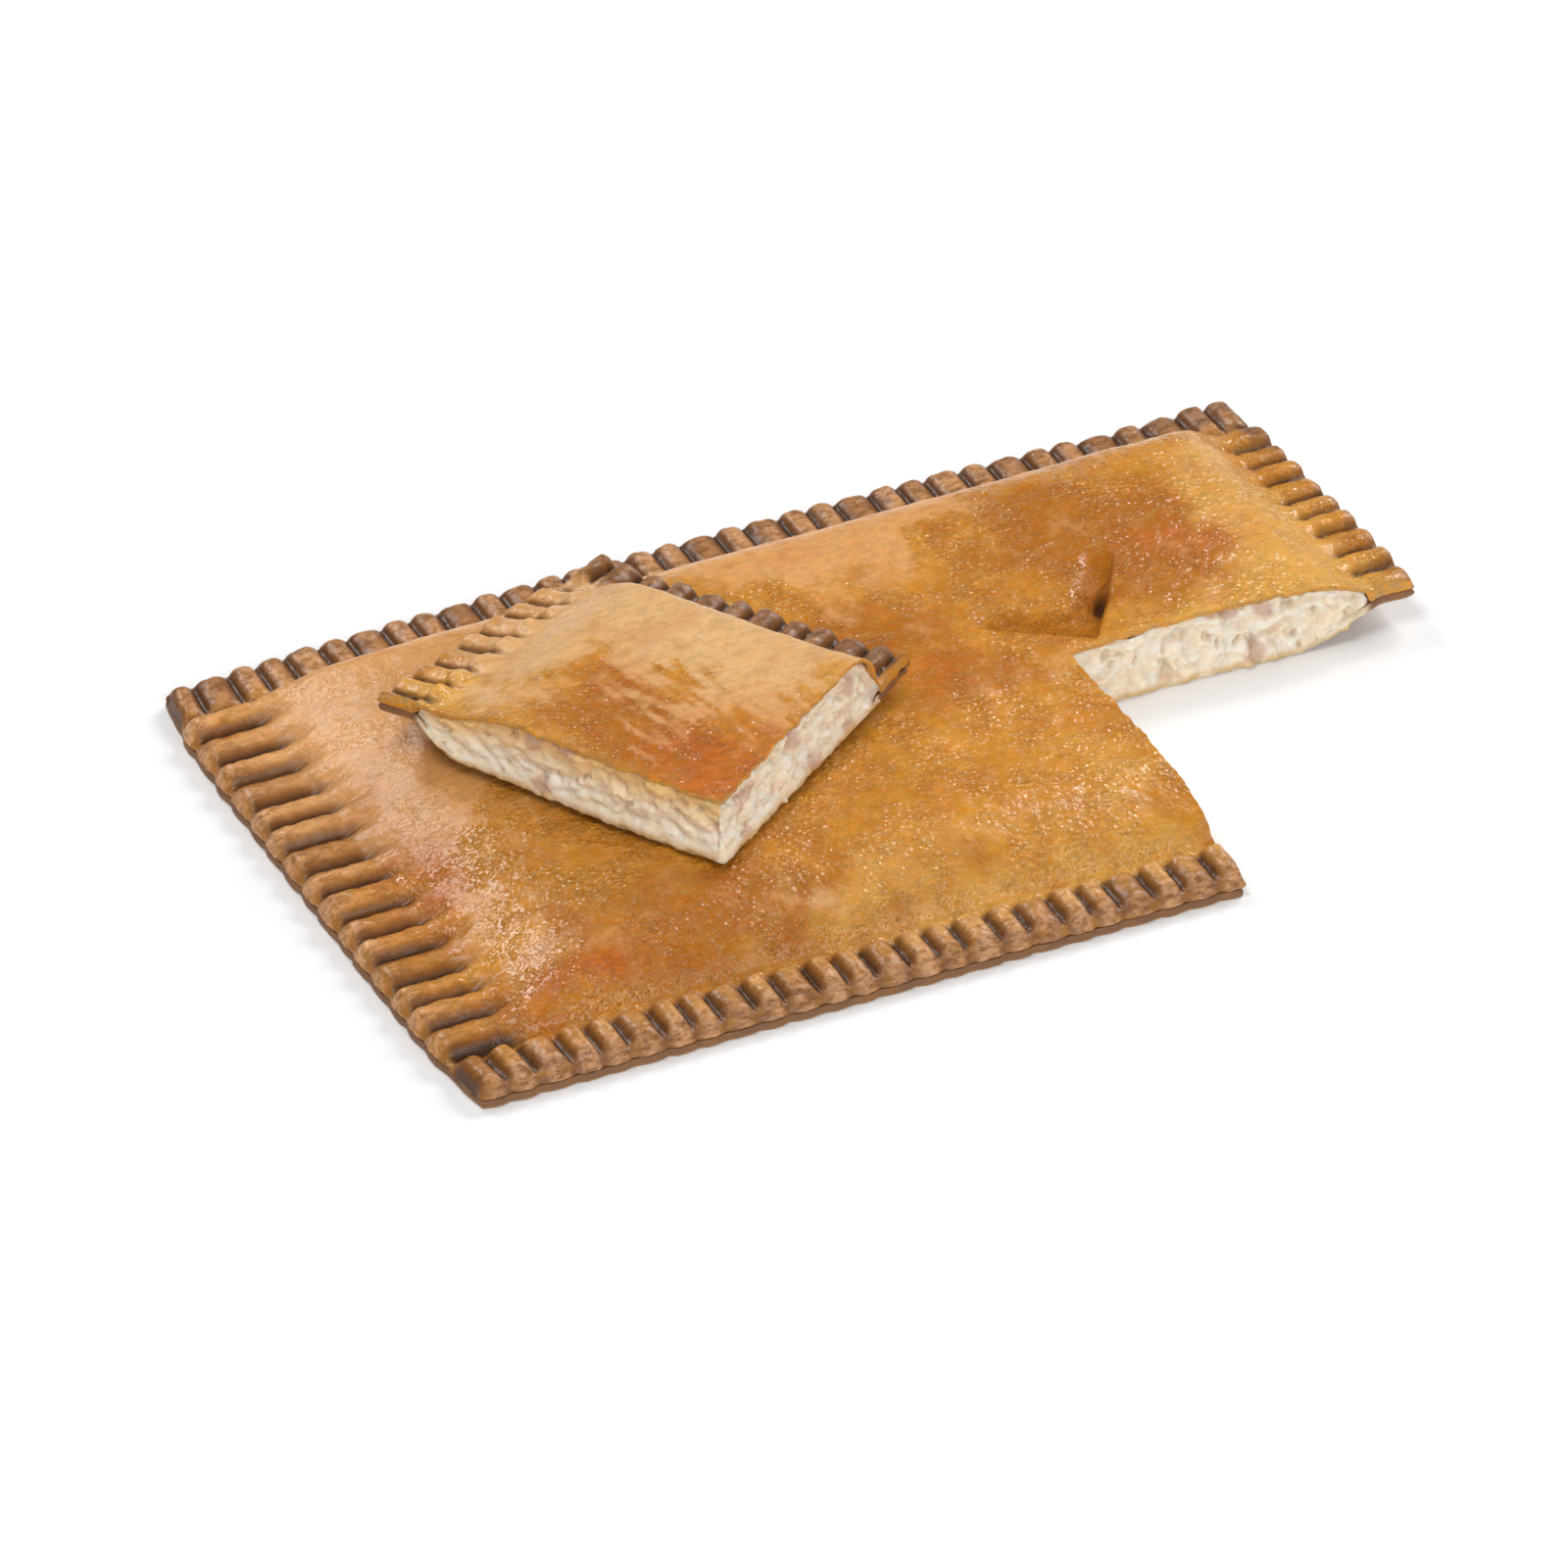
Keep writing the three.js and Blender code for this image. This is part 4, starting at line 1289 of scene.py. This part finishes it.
def add_camera():
    a, e = math.radians(CAMERA["azimuth"]), math.radians(CAMERA["elevation"])
    back = Vector((math.sin(a) * math.cos(e), -math.cos(a) * math.cos(e), math.sin(e)))
    data = bpy.data.cameras.new("camera")
    data.lens, data.sensor_width = LENS, SENSOR
    camera = add_object("camera", data)
    aim(camera, Vector(CAMERA["target"]) + CAMERA["distance"] * back, -back)
    bpy.context.scene.camera = camera


def add_world():
    world = bpy.data.worlds.new("studio")
    world.use_nodes = True
    shade = world.node_tree.nodes["Background"]
    shade.inputs["Color"].default_value = WHITE
    shade.inputs["Strength"].default_value = WORLD_GLOW
    bpy.context.scene.world = world


def add_stage():
    bpy.context.scene.view_settings.view_transform = "Standard"
    add_floor()
    add_world()
    for name, softbox in SOFTBOXES.items():
        add_softbox(name, **softbox)
    add_camera()


# What differs between the body and the corner piece
Form = namedtuple("Form", "crimps rises settled lift lean torn wrinkled browning spots cuts facing place")
BODY = Form(
    CRIMPS, BODY_RISES, (SLUMP, PUFF), BODY_LIFT, BODY_LEAN, torn=True, wrinkled=False,
    browning=BROWNING, spots=BODY_SPOTS, cuts=BODY_CUTS, facing=1, place=None,
)
CORNER = Form(
    PIECE_CRIMPS, PIECE_RISES, (), PIECE_LIFT, PIECE_LEAN, torn=False, wrinkled=True,
    browning=PIECE_BROWNING, spots=PIECE_SPOTS, cuts=PIECE_CUTS, facing=-1, place=bent_and_placed,
)

# The six pieces, the steps of their grids, and how far the bottom sheet stays behind the cut
TOP_STEP = 0.8
TOP_RIM_STEP = 0.75
PIECE_STEP = 0.6
BASE_STEP = 2.0
CORE_STEP = 5.0
BASE_INSET = 0.9


def crust_level(form):
    return lambda x, y: crust_heights(x, y, form)[0]


def base_level(form):
    return lambda x, y: curl(x, y, form) + BASE_SHEET / 2


def crown_level(x, y):
    return np.full(np.shape(x), CROWN_Z)


def own(piece, node):
    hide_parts(node)
    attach(piece, "root")


def build():
    body_top = body_plan(TOP_STEP, TOP_RIM_STEP, crust_level(BODY))
    corner_top = piece_plan(PIECE_STEP, crust_level(CORNER))
    own(top_sheet("baked_top_crust", body_top, BODY), "top_crust")
    own(top_sheet("baked_corner_crust", corner_top, CORNER), "corner_top_crust")

    body_core = body_plan(CORE_STEP, CORE_STEP, crown_level)
    corner_core = piece_plan(CORE_STEP, crown_level)
    own(filling_piece("lumpy_filling", body_core, BODY), "filling")
    own(filling_piece("lumpy_corner_filling", corner_core, CORNER), "corner_filling")

    body_base = body_plan(BASE_STEP, BASE_STEP, base_level(BODY), BASE_INSET)
    corner_base = piece_plan(BASE_STEP / 2, base_level(CORNER), BASE_INSET)
    own(bottom_sheet("baked_bottom_crust", body_base, BODY), "bottom_crust")
    own(bottom_sheet("baked_corner_base", corner_base, CORNER), "corner_bottom_crust")


build()
add_stage()
